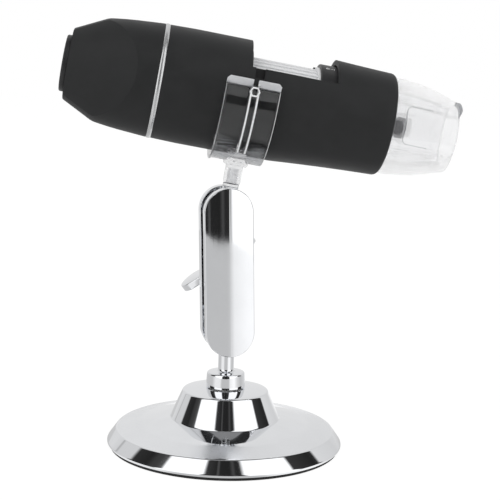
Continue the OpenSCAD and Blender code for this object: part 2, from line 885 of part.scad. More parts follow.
module lamp_cable() {
    level = -sqrt(pow(shell_bore_r, 2) - pow(cable_half, 2)) + 0.02;
    start = tube_start - board_t - cable_t;
    color("orange") in_scope() union() {
        block([start, -cable_half, level], [lamp_board_start, cable_half, level + cable_t]);
        block([start, -cable_half, level], [start + cable_t, cable_half, -camera_board_r + 2.5]);
    }
}

// One screw, its head's inner face at the origin and its shank along +X
module board_screw() {
    rod_x(screw_head_r, -screw_head_t, 0);
    rod_x(screw_r, -0.1, screw_len);
}

module board_screws() {
    color("silver") in_scope() {
        for (side = [-1, 1]) {
            translate([board_screw_x, board_y, side * board_screw_z]) rotate([0, 0, -90]) board_screw();
            translate([tube_start - board_t, side * camera_screw_y, 0]) board_screw();
        }
    }
}

module lamp_board() {
    color("white") in_scope()
        tube_x(tube_r, barrel_r + 0.5, lamp_board_start, front_seat);
}

module lamps() {
    color("ivory") in_scope() for (i = [0 : lamp_count - 1])
        rotate([(i + 0.5) * 360 / lamp_count, 0, 0]) translate([0, 0, lamp_ring_r]) union() {
            rod_x(lamp_r, front_seat, front_seat + 2.6);
            translate([front_seat + 2.6, 0, 0]) sphere(r = lamp_r, $fn = smooth);
        }
}

// Focus wheel and lens

module focus_wheel() {
    color("silver") in_scope() difference() {
        turned([
            [core_r + seat, wheel_start],
            [wheel_r, wheel_start],
            [wheel_r, wheel_end],
            [wheel_collar_r, wheel_end],
            [wheel_collar_r, dial_start],
            [core_r + seat, dial_start]
        ]);
        for (i = [0 : wheel_ribs - 1]) rotate([i * 360 / wheel_ribs, 0, 0])
            block([rib_start, -0.45, wheel_r - wheel_rib_h], [wheel_end, 0.45, wheel_r + cut]);
    }
}

module focus_core() {
    steps = 22;
    travel = travel_back + travel_front;
    slot_w = 2 * cam_pin_r + 0.5;
    step_x = travel / steps;
    step_y = core_r * PI * 2 * travel / focus_lead / steps;
    slot_lean = atan(step_y / step_x);
    slot_len = norm([step_x, step_y]) + slot_w;
    color("black") in_scope() difference() {
        union() {
            turned([
                [core_bore_r, wheel_start],
                [core_r, wheel_start],
                [core_r, dial_start],
                [dial_r - 0.3, dial_start],
                [dial_r, dial_start + 0.3],
                [dial_r, dial_end],
                [journal_r, dial_end],
                [journal_r, journal_end],
                [core_bore_r, journal_end]
            ]);
            rotate([-20, 0, 0]) block([dial_start - 1, -0.9, wheel_collar_r + 0.1],
                                     [dial_start + 0.5, 0.9, dial_r - 0.2]);
        }
        for (i = [0.5 : steps - 0.5]) let (x = -travel_back + travel * i / steps)
            rotate([-360 * x / focus_lead, 0, 0]) translate([cam_x + x, 0, 0]) rotate([0, 0, slot_lean])
                block([-slot_len / 2, -slot_w / 2, 0], [slot_len / 2, slot_w / 2, core_r + cut]);
    }
}

module lens_carriage() {
    wall_back = carriage_back + carriage_len - 2;
    color("black") in_scope() difference() {
        turned([
            [carriage_r - carriage_wall, carriage_back],
            [carriage_r, carriage_back],
            [carriage_r, wall_back + 2],
            [barrel_r + 1.5, wall_back + 2],
            [barrel_r + 1.5, boss_front],
            [barrel_r + 0.03, boss_front],
            [barrel_r + 0.03, wall_back],
            [carriage_r - carriage_wall, wall_back]
        ]);
        for (side = [-1, 1]) translate([0, 0, side * rod_place])
            rod_x(rod_r + running, wall_back - cut, wall_back + 2 + cut);
        translate([cam_x, 0, 0]) cylinder(r = cam_pin_r + 0.02, h = 2 * core_r, $fn = smooth);
    }
}

module cam_pin() {
    color("silver") in_scope() translate([cam_x, 0, carriage_r - carriage_wall])
        cylinder(r = cam_pin_r, h = core_r - carriage_r + carriage_wall - 0.2, $fn = smooth);
}

module lens_barrel() {
    color("gray") in_scope() turned([
        [barrel_r - 1, barrel_back],
        [barrel_r, barrel_back],
        [barrel_r, barrel_front - 2],
        [barrel_r - 0.5, barrel_front],
        [barrel_r - 1, barrel_front]
    ]);
}

module front_lens() {
    color("lightblue") in_scope()
        rod_x(barrel_r - 1 - 0.03, barrel_front - 2, barrel_front - 0.6);
}

// Button

module snap_button() {
    color("gray") in_scope() translate([-button_t, 0, 0]) union() {
        rotate([-90, 0, 0]) rotate_extrude($fn = smooth) polygon(concat(
            [[0, stem_foot_y], [1.3, stem_foot_y], [1.3, button_flange_y - button_flange_t]],
            [[button_r + 1, button_flange_y - button_flange_t], [button_r + 1, button_flange_y]],
            [[button_r, button_flange_y], [button_r, button_face - 0.5]],
            [[button_r - 0.4, button_face - 0.15], [button_r - 1.4, button_face], [0, button_face]]
        ));
    }
}

module switch_plunger() {
    color("brown") in_scope() translate([-button_t, 0, 0])
        rod_y(1.6, board_y + 0.8 + button_travel + 0.4, stem_foot_y);
}

// Clear hood

// Cutter for one finger flat on the top of the cone: its floor follows the cone and runs
// out at the front, and its two rear corners are round
module finger_flat(cone_start, cone_lean) {
    corner = 1.6;
    floor_len = 8;
    run_out = 5;
    translate([cone_start + 0.8, 0, hood_flange_r]) rotate([0, cone_lean, 0]) intersection() {
        linear_extrude(4 * hood_wall, center = true) union() {
            for (side = [-1, 1]) translate([corner, side * (flat_half - corner)])
                circle(r = corner, $fn = smooth);
            translate([0, corner - flat_half]) square([corner + 1, 2 * (flat_half - corner)]);
            translate([corner, -flat_half]) square([floor_len + run_out, 2 * flat_half]);
        }
        rotate([90, 0, 0]) linear_extrude(3 * flat_half, center = true) polygon([
            [-1, -flat_depth],
            [floor_len, -flat_depth],
            [floor_len + run_out, 0.1],
            [floor_len + run_out, 2],
            [-1, 2]
        ]);
    }
}

// The tab on the hood's front edge, seen along its own radius, with its lower end slanted
module hood_tab() {
    tab_mid = 60;
    tab_half = 4.5;
    tab_slant = 2.2;
    tab_out = 1;
    intersection() {
        tube_x(hood_front_r - 0.2, hood_mouth_r + 0.7, hood_front - 1, hood_front + tab_out);
        rotate([90 - tab_mid, 0, 0]) linear_extrude(2 * hood_front_r) polygon([
            [hood_front - 1, -tab_half],
            [hood_front, -tab_half],
            [hood_front + tab_out, tab_slant - tab_half],
            [hood_front + tab_out, tab_half],
            [hood_front - 1, tab_half]
        ]);
    }
}

module clear_hood() {
    cone_start = front_t + hood_flange_w;
    cone_lean = atan((hood_flange_r - hood_front_r) / (hood_front - cone_start));
    color("lightcyan") in_scope() difference() {
        union() {
            turned([
                [hood_spigot_r - hood_wall, hood_spigot_back],
                [hood_spigot_r, hood_spigot_back],
                [hood_spigot_r, front_t],
                [hood_flange_r - 0.3, front_t],
                [hood_flange_r, front_t + 0.3],
                [hood_flange_r, cone_start - 0.3],
                [hood_flange_r - 0.3, cone_start - 0.1],
                [hood_flange_r - 0.3, cone_start + 0.1],
                [hood_flange_r, cone_start + 0.3],
                [hood_flange_r - hood_break_drop, cone_start + hood_break],
                [hood_front_r, hood_front - 0.5],
                [hood_front_r - 0.5, hood_front],
                [hood_mouth_r + 0.6, hood_front],
                [hood_mouth_r, hood_front - 0.6],
                [hood_mouth_r, hood_front - 4],
                [hood_front_r - hood_wall + 0.7, hood_front - 4.6],
                [hood_spigot_r - hood_wall + 0.2, cone_start - 1],
                [hood_spigot_r - hood_wall, front_t - 1]
            ]);
            hood_tab();
        }
        for (side = [-1, 1]) rotate([side * 90, 0, 0]) finger_flat(cone_start, cone_lean);
    }
}

base_shell();
base_weight();
base_pad();
swivel_bush();
ball_stud();
stud_washer();
stud_nut();
arm_front_shell();
clamp_screw();
arm_back_shell();
clamp_washer();
wing_nut();
ball_stem();
holder_clip();
main_shell();
rear_shell();
trim_ring();
end_cap();
cord_socket();
guide_tube();
front_bush();
guide_rods();
camera_board();
image_sensor();
main_board();
controller_chip();
button_switch();
sensor_cable();
lamp_cable();
board_screws();
lamp_board();
lamps();
focus_wheel();
focus_core();
lens_carriage();
cam_pin();
lens_barrel();
front_lens();
snap_button();
switch_plunger();
clear_hood();
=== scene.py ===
"""Dresses the digital microscope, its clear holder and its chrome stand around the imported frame."""
from __future__ import annotations

import logging
import math
import sys
from collections.abc import Callable, Sequence
from dataclasses import dataclass
from enum import Enum

import bmesh
import bpy
from mathutils import Matrix, Vector

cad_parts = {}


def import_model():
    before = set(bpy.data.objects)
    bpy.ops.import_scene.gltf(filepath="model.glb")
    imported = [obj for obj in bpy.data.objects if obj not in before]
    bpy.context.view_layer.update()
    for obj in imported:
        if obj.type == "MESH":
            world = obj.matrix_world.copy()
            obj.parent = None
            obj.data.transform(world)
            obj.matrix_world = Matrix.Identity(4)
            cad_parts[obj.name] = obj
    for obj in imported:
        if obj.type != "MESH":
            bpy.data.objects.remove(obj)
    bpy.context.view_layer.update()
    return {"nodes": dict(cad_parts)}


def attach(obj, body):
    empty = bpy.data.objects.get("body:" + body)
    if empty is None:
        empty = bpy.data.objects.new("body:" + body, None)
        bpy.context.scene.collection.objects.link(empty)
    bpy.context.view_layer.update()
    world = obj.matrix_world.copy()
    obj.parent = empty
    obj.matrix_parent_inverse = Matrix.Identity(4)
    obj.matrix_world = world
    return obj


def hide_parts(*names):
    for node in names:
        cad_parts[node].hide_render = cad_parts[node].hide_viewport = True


LOG = logging.getLogger("microscope")
MM = 0.001
WELD_M = 2e-7
SAME_M = 1e-6
SMOOTH_UNDER = 32.0
Point = tuple[float, float]
Color = tuple[float, float, float]
Shape = bpy.types.Object
Socket = bpy.types.NodeSocket
Tree = bpy.types.NodeTree


class Way(Enum):
    """The three ways in which one solid can work on another."""

    CUT = "DIFFERENCE"
    ADD = "UNION"
    KEEP = "INTERSECT"


def turned(angle: float, axis: str) -> Matrix:
    """Returns a turn about an axis, in degrees."""
    return Matrix.Rotation(math.radians(angle), 4, axis)


def shifted(x: float, y: float, z: float) -> Matrix:
    """Returns a shift, in millimetres."""
    return Matrix.Translation((x * MM, y * MM, z * MM))


def near(place: Point, *steps: Point) -> list[Point]:
    """Gives the points that lie some steps away from a place."""
    return [(place[0] + across, place[1] + along) for across, along in steps]


def loop(points: list[Point]) -> list[Point]:
    """Closes a list of points by giving its first one again at the end."""
    return points + points[:1]


def rectangle(low: Point, high: Point) -> list[Point]:
    """Gives a closed rectangle between two corners."""
    return loop([low, (high[0], low[1]), high, (low[0], high[1])])


def shade(color: Color, factor: float) -> Color:
    """Returns a colour made darker or lighter by a factor, within its range."""
    return tuple(min(1.0, part * factor) for part in color)


def rounded(center: Point, radius: float, start: float, stop: float, steps: int) -> list[Point]:
    """Gives points of an arc.

    Args:
        center: The arc's centre.
        radius: Its radius.
        start: The first angle, in degrees.
        stop: The last angle, in degrees.
        steps: How many pieces it has.

    Returns:
        The points in order.
    """
    angles = [math.radians(start + (stop - start) * i / steps) for i in range(steps + 1)]
    return [(center[0] + radius * math.cos(a), center[1] + radius * math.sin(a)) for a in angles]


def ridges(radius: float, depth: float, pitch: float, start: float, stop: float) -> tuple[list[Point], float]:
    """Gives the points of a thread's ridges, seen from the side.

    Args:
        radius: The thread's outer radius.
        depth: How deep the grooves are.
        pitch: The distance from ridge to ridge.
        start: The height of the first ridge.
        stop: The height under which the last ridge lies.

    Returns:
        The points in order, and the height of the next ridge.
    """
    points = []
    while start < stop:
        points += [(radius, start), (radius - depth, start + pitch / 2)]
        start += pitch
    return points, start


@dataclass(frozen=True)
class Layout:
    """Where the arm, the holder and the microscope stand, in millimetres and degrees."""

    lower_ball_z: float = 35.5
    ball_span: float = 35.2
    arm_lean: float = 2.2
    stem_tilt: float = 9.4
    body_swivel: float = 6.0
    body_roll: float = 5.0
    clip_t: float = 26.25
    stem_reach: float = 33.4

    def arm(self) -> Matrix:
        """Returns the arm's place: its lower ball at the origin, the arm along Z."""
        return shifted(0, 0, self.lower_ball_z) @ turned(-self.arm_lean, "Y")

    def clamp(self) -> Matrix:
        """Returns the clamp screw's place, with the screw along Y."""
        return self.arm() @ shifted(0, 0, self.ball_span / 2)

    def holder(self) -> Matrix:
        """Returns the holder's place: the upper ball at the origin, the stem along Z."""
        top = self.arm() @ shifted(0, 0, self.ball_span)
        return top @ turned(self.stem_tilt + self.arm_lean, "Y") @ turned(-self.body_swivel, "Z")

    def scope(self) -> Matrix:
        """Returns the microscope's place: the trim ring at the origin, the front along X."""
        return self.holder() @ shifted(-self.clip_t, 0, self.stem_reach) @ turned(-self.body_roll, "X")


LAYOUT = Layout()
ALONG_X = turned(90, "Y")
ALONG_Y = turned(-90, "X")
UPRIGHT = turned(90, "X")
CROSSWISE = turned(90, "Z") @ UPRIGHT


class Formula:
    """Short ways to write arithmetic as nodes in any node tree."""

    def __init__(self, tree: Tree) -> None:
        """Keeps the tree that the nodes go into."""
        self.tree = tree

    def do(self, operation: str, *terms: Socket | float) -> Socket:
        """Adds one operation.

        Args:
            operation: What it does.
            *terms: The sockets or numbers that it works on.

        Returns:
            Its result.
        """
        node = self.tree.nodes.new("ShaderNodeMath")
        node.operation = operation
        for socket, term in zip(node.inputs, terms):
            if isinstance(term, (int, float)):
                socket.default_value = term
            else:
                self.tree.links.new(term, socket)
        return node.outputs[0]

    def mix(self, share: Socket, first: Socket | float, second: Socket | float) -> Socket:
        """Returns the first value where the share is 0 and the second where it is 1."""
        return self.do("MULTIPLY_ADD", share, self.do("SUBTRACT", second, first), first)

    def length(self, across: Socket, along: Socket) -> Socket:
        """Returns the length of a level step."""
        squares = [self.do("MULTIPLY", part, part) for part in (across, along)]
        return self.do("SQRT", self.do("ADD", *squares))

    def parts(self, coordinates: str) -> list[Socket]:
        """Adds texture coordinates.

        Args:
            coordinates: Their kind.

        Returns:
            Their three parts.
        """
        node = self.tree.nodes.new("ShaderNodeSeparateXYZ")
        self.tree.links.new(self.tree.nodes.new("ShaderNodeTexCoord").outputs[coordinates], node.inputs[0])
        return list(node.outputs)

    def step(self, source: Socket, low: float, high: float) -> Socket:
        """Adds a smooth step.

        Args:
            source: The value to read.
            low: The value up to which the result is 0.
            high: The value from which it is 1.

        Returns:
            The result.
        """
        node = self.tree.nodes.new("ShaderNodeMapRange")
        node.interpolation_type = "SMOOTHSTEP"
        node.inputs["From Min"].default_value = low
        node.inputs["From Max"].default_value = high
        self.tree.links.new(source, node.inputs["Value"])
        return node.outputs[0]

    def levels(self, source: Socket, stops: Sequence[Point]) -> Socket:
        """Reads a grey level between 0 and 1 off a list of stops.

        Args:
            source: The place along the list, from 0 to 1.
            stops: Place and level of each stop, in order.

        Returns:
            The level's socket.
        """
        node = self.tree.nodes.new("ShaderNodeValToRGB")
        elements = node.color_ramp.elements
        while len(elements) < len(stops):
            elements.new(0.5)
        for element, (place, level) in zip(elements, stops):
            element.position = place
            element.color = (level, level, level, 1)
        self.tree.links.new(source, node.inputs["Fac"])
        return node.outputs[0]


class NodeSheet:
    """A material's node tree with one Principled shader, and short ways to add to it.

    A pattern's values lie mostly in its middle range, which its spread and its two colours cover.
    """

    MIDDLE = (0.3, 0.7)
    COLOR_STOPS = (0.35, 0.65)

    def __init__(self, name: str) -> None:
        """Makes an empty sheet.

        Args:
            name: The material's name.
        """
        self.material = bpy.data.materials.new(name)
        self.material.use_nodes = True
        self.tree = self.material.node_tree
        self.tree.nodes.clear()
        self.output = self.tree.nodes.new("ShaderNodeOutputMaterial")
        self.shader = self.tree.nodes.new("ShaderNodeBsdfPrincipled")
        self.link(self.shader.outputs[0], self.output.inputs["Surface"])
        self.place = self.tree.nodes.new("ShaderNodeTexCoord").outputs["Object"]

    def link(self, source: Socket, target: Socket) -> None:
        """Joins two sockets."""
        self.tree.links.new(source, target)

    def add(self, kind: str, **values: object) -> bpy.types.Node:
        """Adds a node.

        Args:
            kind: Its type.
            **values: Plain values for its inputs, with spaces written as underscores.

        Returns:
            The node.
        """
        node = self.tree.nodes.new(kind)
        for key, value in values.items():
            node.inputs[key.replace("_", " ")].default_value = value
        return node

    def set(self, **values: object) -> None:
        """Sets plain values on the Principled shader, with spaces written as underscores."""
        for key, value in values.items():
            self.shader.inputs[key.replace("_", " ")].default_value = value

    def noise(self, size_mm: float, detail: float = 3.0, stretch: Sequence[float] = (1, 1, 1)) -> Socket:
        """Adds a noise pattern.

        Args:
            size_mm: The rough size of one feature.
            detail: How many finer layers lie on it.
            stretch: Scale along each axis.

        Returns:
            The pattern's factor socket.
        """
        mapping = self.add("ShaderNodeMapping", Scale=stretch)
        self.link(self.place, mapping.inputs["Vector"])
        pattern = self.add("ShaderNodeTexNoise", Scale=1 / (size_mm * MM), Detail=detail)
        self.link(mapping.outputs[0], pattern.inputs["Vector"])
        return pattern.outputs["Fac"]

    def cells(self, size_mm: float) -> Socket:
        """Adds a pattern of small cells.

        Args:
            size_mm: The rough size of one cell.

        Returns:
            The pattern's distance socket.
        """
        pattern = self.add("ShaderNodeTexVoronoi", Scale=1 / (size_mm * MM))
        self.link(self.place, pattern.inputs["Vector"])
        return pattern.outputs["Distance"]

    def gloss(self, source: Socket, low: float, high: float) -> None:
        """Lets a pattern change how rough the surface is.

        Args:
            source: The pattern.
            low: The roughness where the pattern is low.
            high: The roughness where it is high.
        """
        least, most = self.MIDDLE
        spread = self.add("ShaderNodeMapRange", From_Min=least, From_Max=most, To_Min=low, To_Max=high)
        self.link(source, spread.inputs["Value"])
        self.link(spread.outputs[0], self.shader.inputs["Roughness"])

    def tint(self, source: Socket, first: Color, second: Color) -> None:
        """Colours the surface between two colours by a pattern.

        Args:
            source: The pattern.
            first: The colour where the pattern is low.
            second: The colour where it is high.
        """
        ramp = self.tree.nodes.new("ShaderNodeValToRGB")
        for element, place, color in zip(ramp.color_ramp.elements, self.COLOR_STOPS, (first, second)):
            element.position = place
            element.color = (*color, 1)
        self.link(source, ramp.inputs["Fac"])
        self.link(ramp.outputs[0], self.shader.inputs["Base Color"])

    def bump(self, source: Socket, depth_mm: float, strength: float = 1.0) -> None:
        """Raises the surface by a pattern, after any bump that is there already.

        Args:
            source: The pattern.
            depth_mm: How high it rises.
            strength: How much of that shows.
        """
        raised = self.add("ShaderNodeBump", Distance=depth_mm * MM, Strength=strength)
        self.link(source, raised.inputs["Height"])
        normal = self.shader.inputs["Normal"]
        if normal.is_linked:
            self.link(normal.links[0].from_socket, raised.inputs["Normal"])
        self.link(raised.outputs[0], normal)


@dataclass(frozen=True)
class Finish:
    """A surface finish: its name, colour and how rough it is."""

    name: str
    color: Color
    roughness: float = 0.5

    def material(self) -> bpy.types.Material:
        """Makes the finish's material once and then shares it.

        Returns:
            The material.
        """
        found = bpy.data.materials.get(self.name)
        if found:
            return found
        sheet = NodeSheet(self.name)
        sheet.set(Base_Color=(*self.color, 1), Roughness=self.roughness)
        self.work(sheet)
        return sheet.material

    def work(self, sheet: NodeSheet) -> None:
        """Adds this finish's own detail to the sheet."""
        raise NotImplementedError

    def vary(self, sheet: NodeSheet, pattern: Socket, factor: float, low: float = 0, high: float = 0) -> None:
        """Lets a pattern shade the colour and change the gloss.

        Args:
            sheet: The sheet.
            pattern: The pattern.
            factor: How much darker or lighter the second colour is.
            low: The smallest share of the finish's roughness, or 0 where the gloss stays even.
            high: The largest share of it.
        """
        sheet.tint(pattern, self.color, shade(self.color, factor))
        if low:
            sheet.gloss(pattern, self.roughness * low, self.roughness * high)


@dataclass(frozen=True)
class Plated(Finish):
    """Bright plated metal with a faint haze, fine polishing marks and a slightly wavy face."""

    wave_mm: float = 0.004

    def work(self, sheet: NodeSheet) -> None:
        """Adds the haze, marks and waves.

        Args:
            sheet: The sheet.
        """
        sheet.set(Metallic=1.0)
        self.vary(sheet, sheet.noise(9, 4), 0.97, 0.6, 1.8)
        sheet.bump(sheet.noise(14, 1), self.wave_mm * 4, 0.35)
        sheet.bump(sheet.noise(0.35, 3), self.wave_mm, 0.12)


@dataclass(frozen=True)
class Pressed(Plated):
    """Plated sheet metal that is duller in a ring around the upright axis."""

    dull: float = 0.24
    dull_from_mm: float = 24.0
    rise_mm: float = 2.0
    dull_to_mm: float = 31.6
    fall_mm: float = 0.6

    def work(self, sheet: NodeSheet) -> None:
        """Adds the duller ring to the plating.

        Args:
            sheet: The sheet.
        """
        super().work(sheet)
        formula = Formula(sheet.tree)
        across, along, _ = formula.parts("Object")
        reach = formula.length(across, along)
        inner = formula.step(reach, self.dull_from_mm * MM, (self.dull_from_mm + self.rise_mm) * MM)
        outer = formula.step(reach, self.dull_to_mm * MM, (self.dull_to_mm + self.fall_mm) * MM)
        rough = sheet.shader.inputs["Roughness"]
        plain = rough.links[0].from_socket
        sheet.link(formula.mix(formula.do("SUBTRACT", inner, outer), plain, self.dull), rough)


@dataclass(frozen=True)
class Machined(Finish):
    """Plain steel with turning marks along one axis."""

    stretch: tuple[float, float, float] = (1, 1, 12)

    def work(self, sheet: NodeSheet) -> None:
        """Adds the turning marks.

        Args:
            sheet: The sheet.
        """
        sheet.set(Metallic=1.0)
        marks = sheet.noise(1.2, 6, self.stretch)
        self.vary(sheet, marks, 0.82, 0.7, 1.4)
        sheet.bump(marks, 0.02, 0.4)


@dataclass(frozen=True)
class SoftTouch(Finish):
    """Rubbery black coating: a very fine grain, soft mottling and a dull sheen."""

    def work(self, sheet: NodeSheet) -> None:
        """Adds the grain, the mottling and the sheen.

        Args:
            sheet: The sheet.
        """
        sheet.set(Specular_IOR_Level=0.2, Sheen_Weight=0.03, Sheen_Roughness=0.5)
        self.vary(sheet, sheet.noise(6, 5), 1.18, 0.92, 1.1)
        sheet.bump(sheet.noise(0.16, 4), 0.02, 0.5)
        sheet.bump(sheet.cells(0.5), 0.006, 0.25)


@dataclass(frozen=True)
class Moulded(Finish):
    """Moulded plastic with a fine spark-eroded grain."""

    grain_mm: float = 0.2

    def work(self, sheet: NodeSheet) -> None:
        """Adds the grain and a slight change of gloss.

        Args:
            sheet: The sheet.
        """
        self.vary(sheet, sheet.noise(5, 3), 1.12, 0.85, 1.15)
        sheet.bump(sheet.noise(self.grain_mm, 4), 0.012, 0.5)


@dataclass(frozen=True)
class Satin(Finish):
    """Metallised plastic: satin silver with short fine streaks."""

    metal: float = 0.85

    def work(self, sheet: NodeSheet) -> None:
        """Adds the streaks.

        Args:
            sheet: The sheet.
        """
        sheet.set(Metallic=self.metal)
        streaks = sheet.noise(0.8, 5, (6, 1, 1))
        self.vary(sheet, streaks, 0.9, 0.8, 1.3)
        sheet.bump(streaks, 0.006, 0.3)


@dataclass(frozen=True)
class Clear(Finish):
    """Clear moulded plastic with slight flow lines."""

    index: float = 1.49
    flow_mm: float = 0.03
    clear_share: float = 1.0
    cover: float = 1.0

    def work(self, sheet: NodeSheet) -> None:
        """Adds the clearness and the flow lines.

        Args:
            sheet: The sheet.
        """
        sheet.set(Transmission_Weight=self.clear_share, IOR=self.index, Alpha=self.cover)
        flow = sheet.noise(7, 2, (1, 2.5, 1))
        self.vary(sheet, flow, 0.985, 0.5, 1.6)
        sheet.bump(flow, self.flow_mm, 0.3)


@dataclass(frozen=True)
class Frosted(Finish):
    """Clear plastic where it is cut or thick: it catches the light and looks milky."""

    clear_share: float = 0.3
    cover: float = 1.0
    index: float = 1.49

    def work(self, sheet: NodeSheet) -> None:
        """Adds the milky share and faint streaks.

        Args:
            sheet: The sheet.
        """
        sheet.set(Transmission_Weight=self.clear_share, IOR=self.index, Alpha=self.cover)
        streaks = sheet.noise(2.5, 3, (1, 4, 1))
        self.vary(sheet, streaks, 0.94, 0.8, 1.2)
        sheet.bump(streaks, 0.02, 0.3)


@dataclass(frozen=True)
class CircuitBoard(Finish):
    """Solder mask with fine tracks and tinned dots."""

    track_mm: float = 2.6

    def work(self, sheet: NodeSheet) -> None:
        """Adds the tracks and dots.

        Args:
            sheet: The sheet.
        """
        tracks = sheet.add(
            "ShaderNodeTexBrick",
            Scale=1 / (self.track_mm * MM),
            Mortar_Size=0.06,
            Color1=(*self.color, 1),
            Color2=(*shade(self.color, 0.8), 1),
            Mortar=(*shade(self.color, 1.9), 1),
        )
        sheet.link(sheet.place, tracks.inputs["Vector"])
        sheet.link(tracks.outputs["Color"], sheet.shader.inputs["Base Color"])
        sheet.bump(tracks.outputs["Fac"], 0.03, 0.4)
        sheet.bump(sheet.noise(0.4, 3), 0.01, 0.2)


@dataclass(frozen=True)
class CastIron(Finish):
    """Raw cast iron with a coarse skin."""

    def work(self, sheet: NodeSheet) -> None:
        """Adds the coarse skin.

        Args:
            sheet: The sheet.
        """
        sheet.set(Metallic=0.7)
        skin = sheet.noise(0.9, 8)
        self.vary(sheet, skin, 1.7)
        sheet.bump(skin, 0.15, 0.8)


@dataclass(frozen=True)
class Foam(Finish):
    """Thin closed-cell foam."""

    def work(self, sheet: NodeSheet) -> None:
        """Adds the cells.

        Args:
            sheet: The sheet.
        """
        cells = sheet.cells(0.35)
        sheet.tint(cells, shade(self.color, 0.6), self.color)
        sheet.bump(cells, 0.08, 0.7)


class Paint:
    """The finishes of this object."""

    CHROME = Plated("chrome plate", (0.885, 0.895, 0.915), 0.035)
    PRESSED = Pressed("pressed chrome plate", (0.885, 0.895, 0.915), 0.035)
    STEEL = Machined("turned steel", (0.55, 0.56, 0.57), 0.28)
    LENS_METAL = Machined("dark lens metal", (0.09, 0.09, 0.095), 0.3, (10, 1, 1))
    IRON = CastIron("cast iron", (0.12, 0.12, 0.125), 0.7)
    FOAM = Foam("black foam", (0.02, 0.02, 0.021), 0.85)
    BUSH = Moulded("white bush plastic", (0.72, 0.72, 0.7), 0.45)
    BLACK = SoftTouch("soft black coating", (0.0165, 0.017, 0.0175), 0.52)
    INNER = Moulded("inner black plastic", (0.012, 0.012, 0.013), 0.42)
    SILVER = Satin("satin silver", (0.66, 0.665, 0.67), 0.26)
    CLEAR = Clear("clear plastic", (0.98, 0.985, 0.99), 0.035)
    FROSTED = Frosted("frosted clear edge", (0.72, 0.73, 0.75), 0.35)
    # A bright frosted finish for the painted highlights along the clip's edges.
    EDGE_HIGHLIGHT = Frosted("painted clip edge highlight", (0.95, 0.955, 0.965), 0.35, 0.15)
    THIN = Clear("thin clear plastic", (0.96, 0.965, 0.985), 0.05, 1.42, 0.02, 0.85, 0.32)
    MILKY = Frosted("milky clear plastic", (0.93, 0.94, 0.965), 0.3, 0.35, 0.75)
    STEM = Frosted("clear stem plastic", (0.96, 0.965, 0.99), 0.3, 0.2, 0.3)
    TAB = Frosted("grey clear edge", (0.4, 0.41, 0.43), 0.4, 0.2, 0.9)
    # A grey finish for the painted refraction lines round the hood's finger flats.
    REFRACTION_LINE = Frosted("painted fillet refraction line", (0.5, 0.51, 0.53), 0.4, 0.1, 0.7)
    WHEEL = Satin("bright wheel plastic", (0.8, 0.805, 0.815), 0.4, 0.2)
    # Near-black painted shade for the recess below the window, darker than the black coating round it.
    RECESS_SHADE = Moulded("painted recess shade", (0.0035, 0.0035, 0.004), 0.7, 0.3)
    LENS = Clear("coated lens glass", (0.8, 0.86, 0.95), 0.01, 1.6, 0.002)
    BOARD = CircuitBoard("green circuit board", (0.02, 0.13, 0.06), 0.35)
    WHITE_BOARD = CircuitBoard("white lamp board", (0.6, 0.6, 0.58), 0.4)
    CHIP = Moulded("chip plastic", (0.015, 0.015, 0.016), 0.4, 0.12)
    FILM = Moulded("amber film", (0.42, 0.17, 0.03), 0.3, 0.5)
    LAMP = Clear("lamp epoxy", (0.97, 0.97, 0.9), 0.12, 1.52, 0.01)
    BUTTON = Moulded("grey button plastic", (0.3, 0.3, 0.31), 0.4)
    PRINT = Moulded("pale print", (0.55, 0.55, 0.55), 0.5, 0.1)


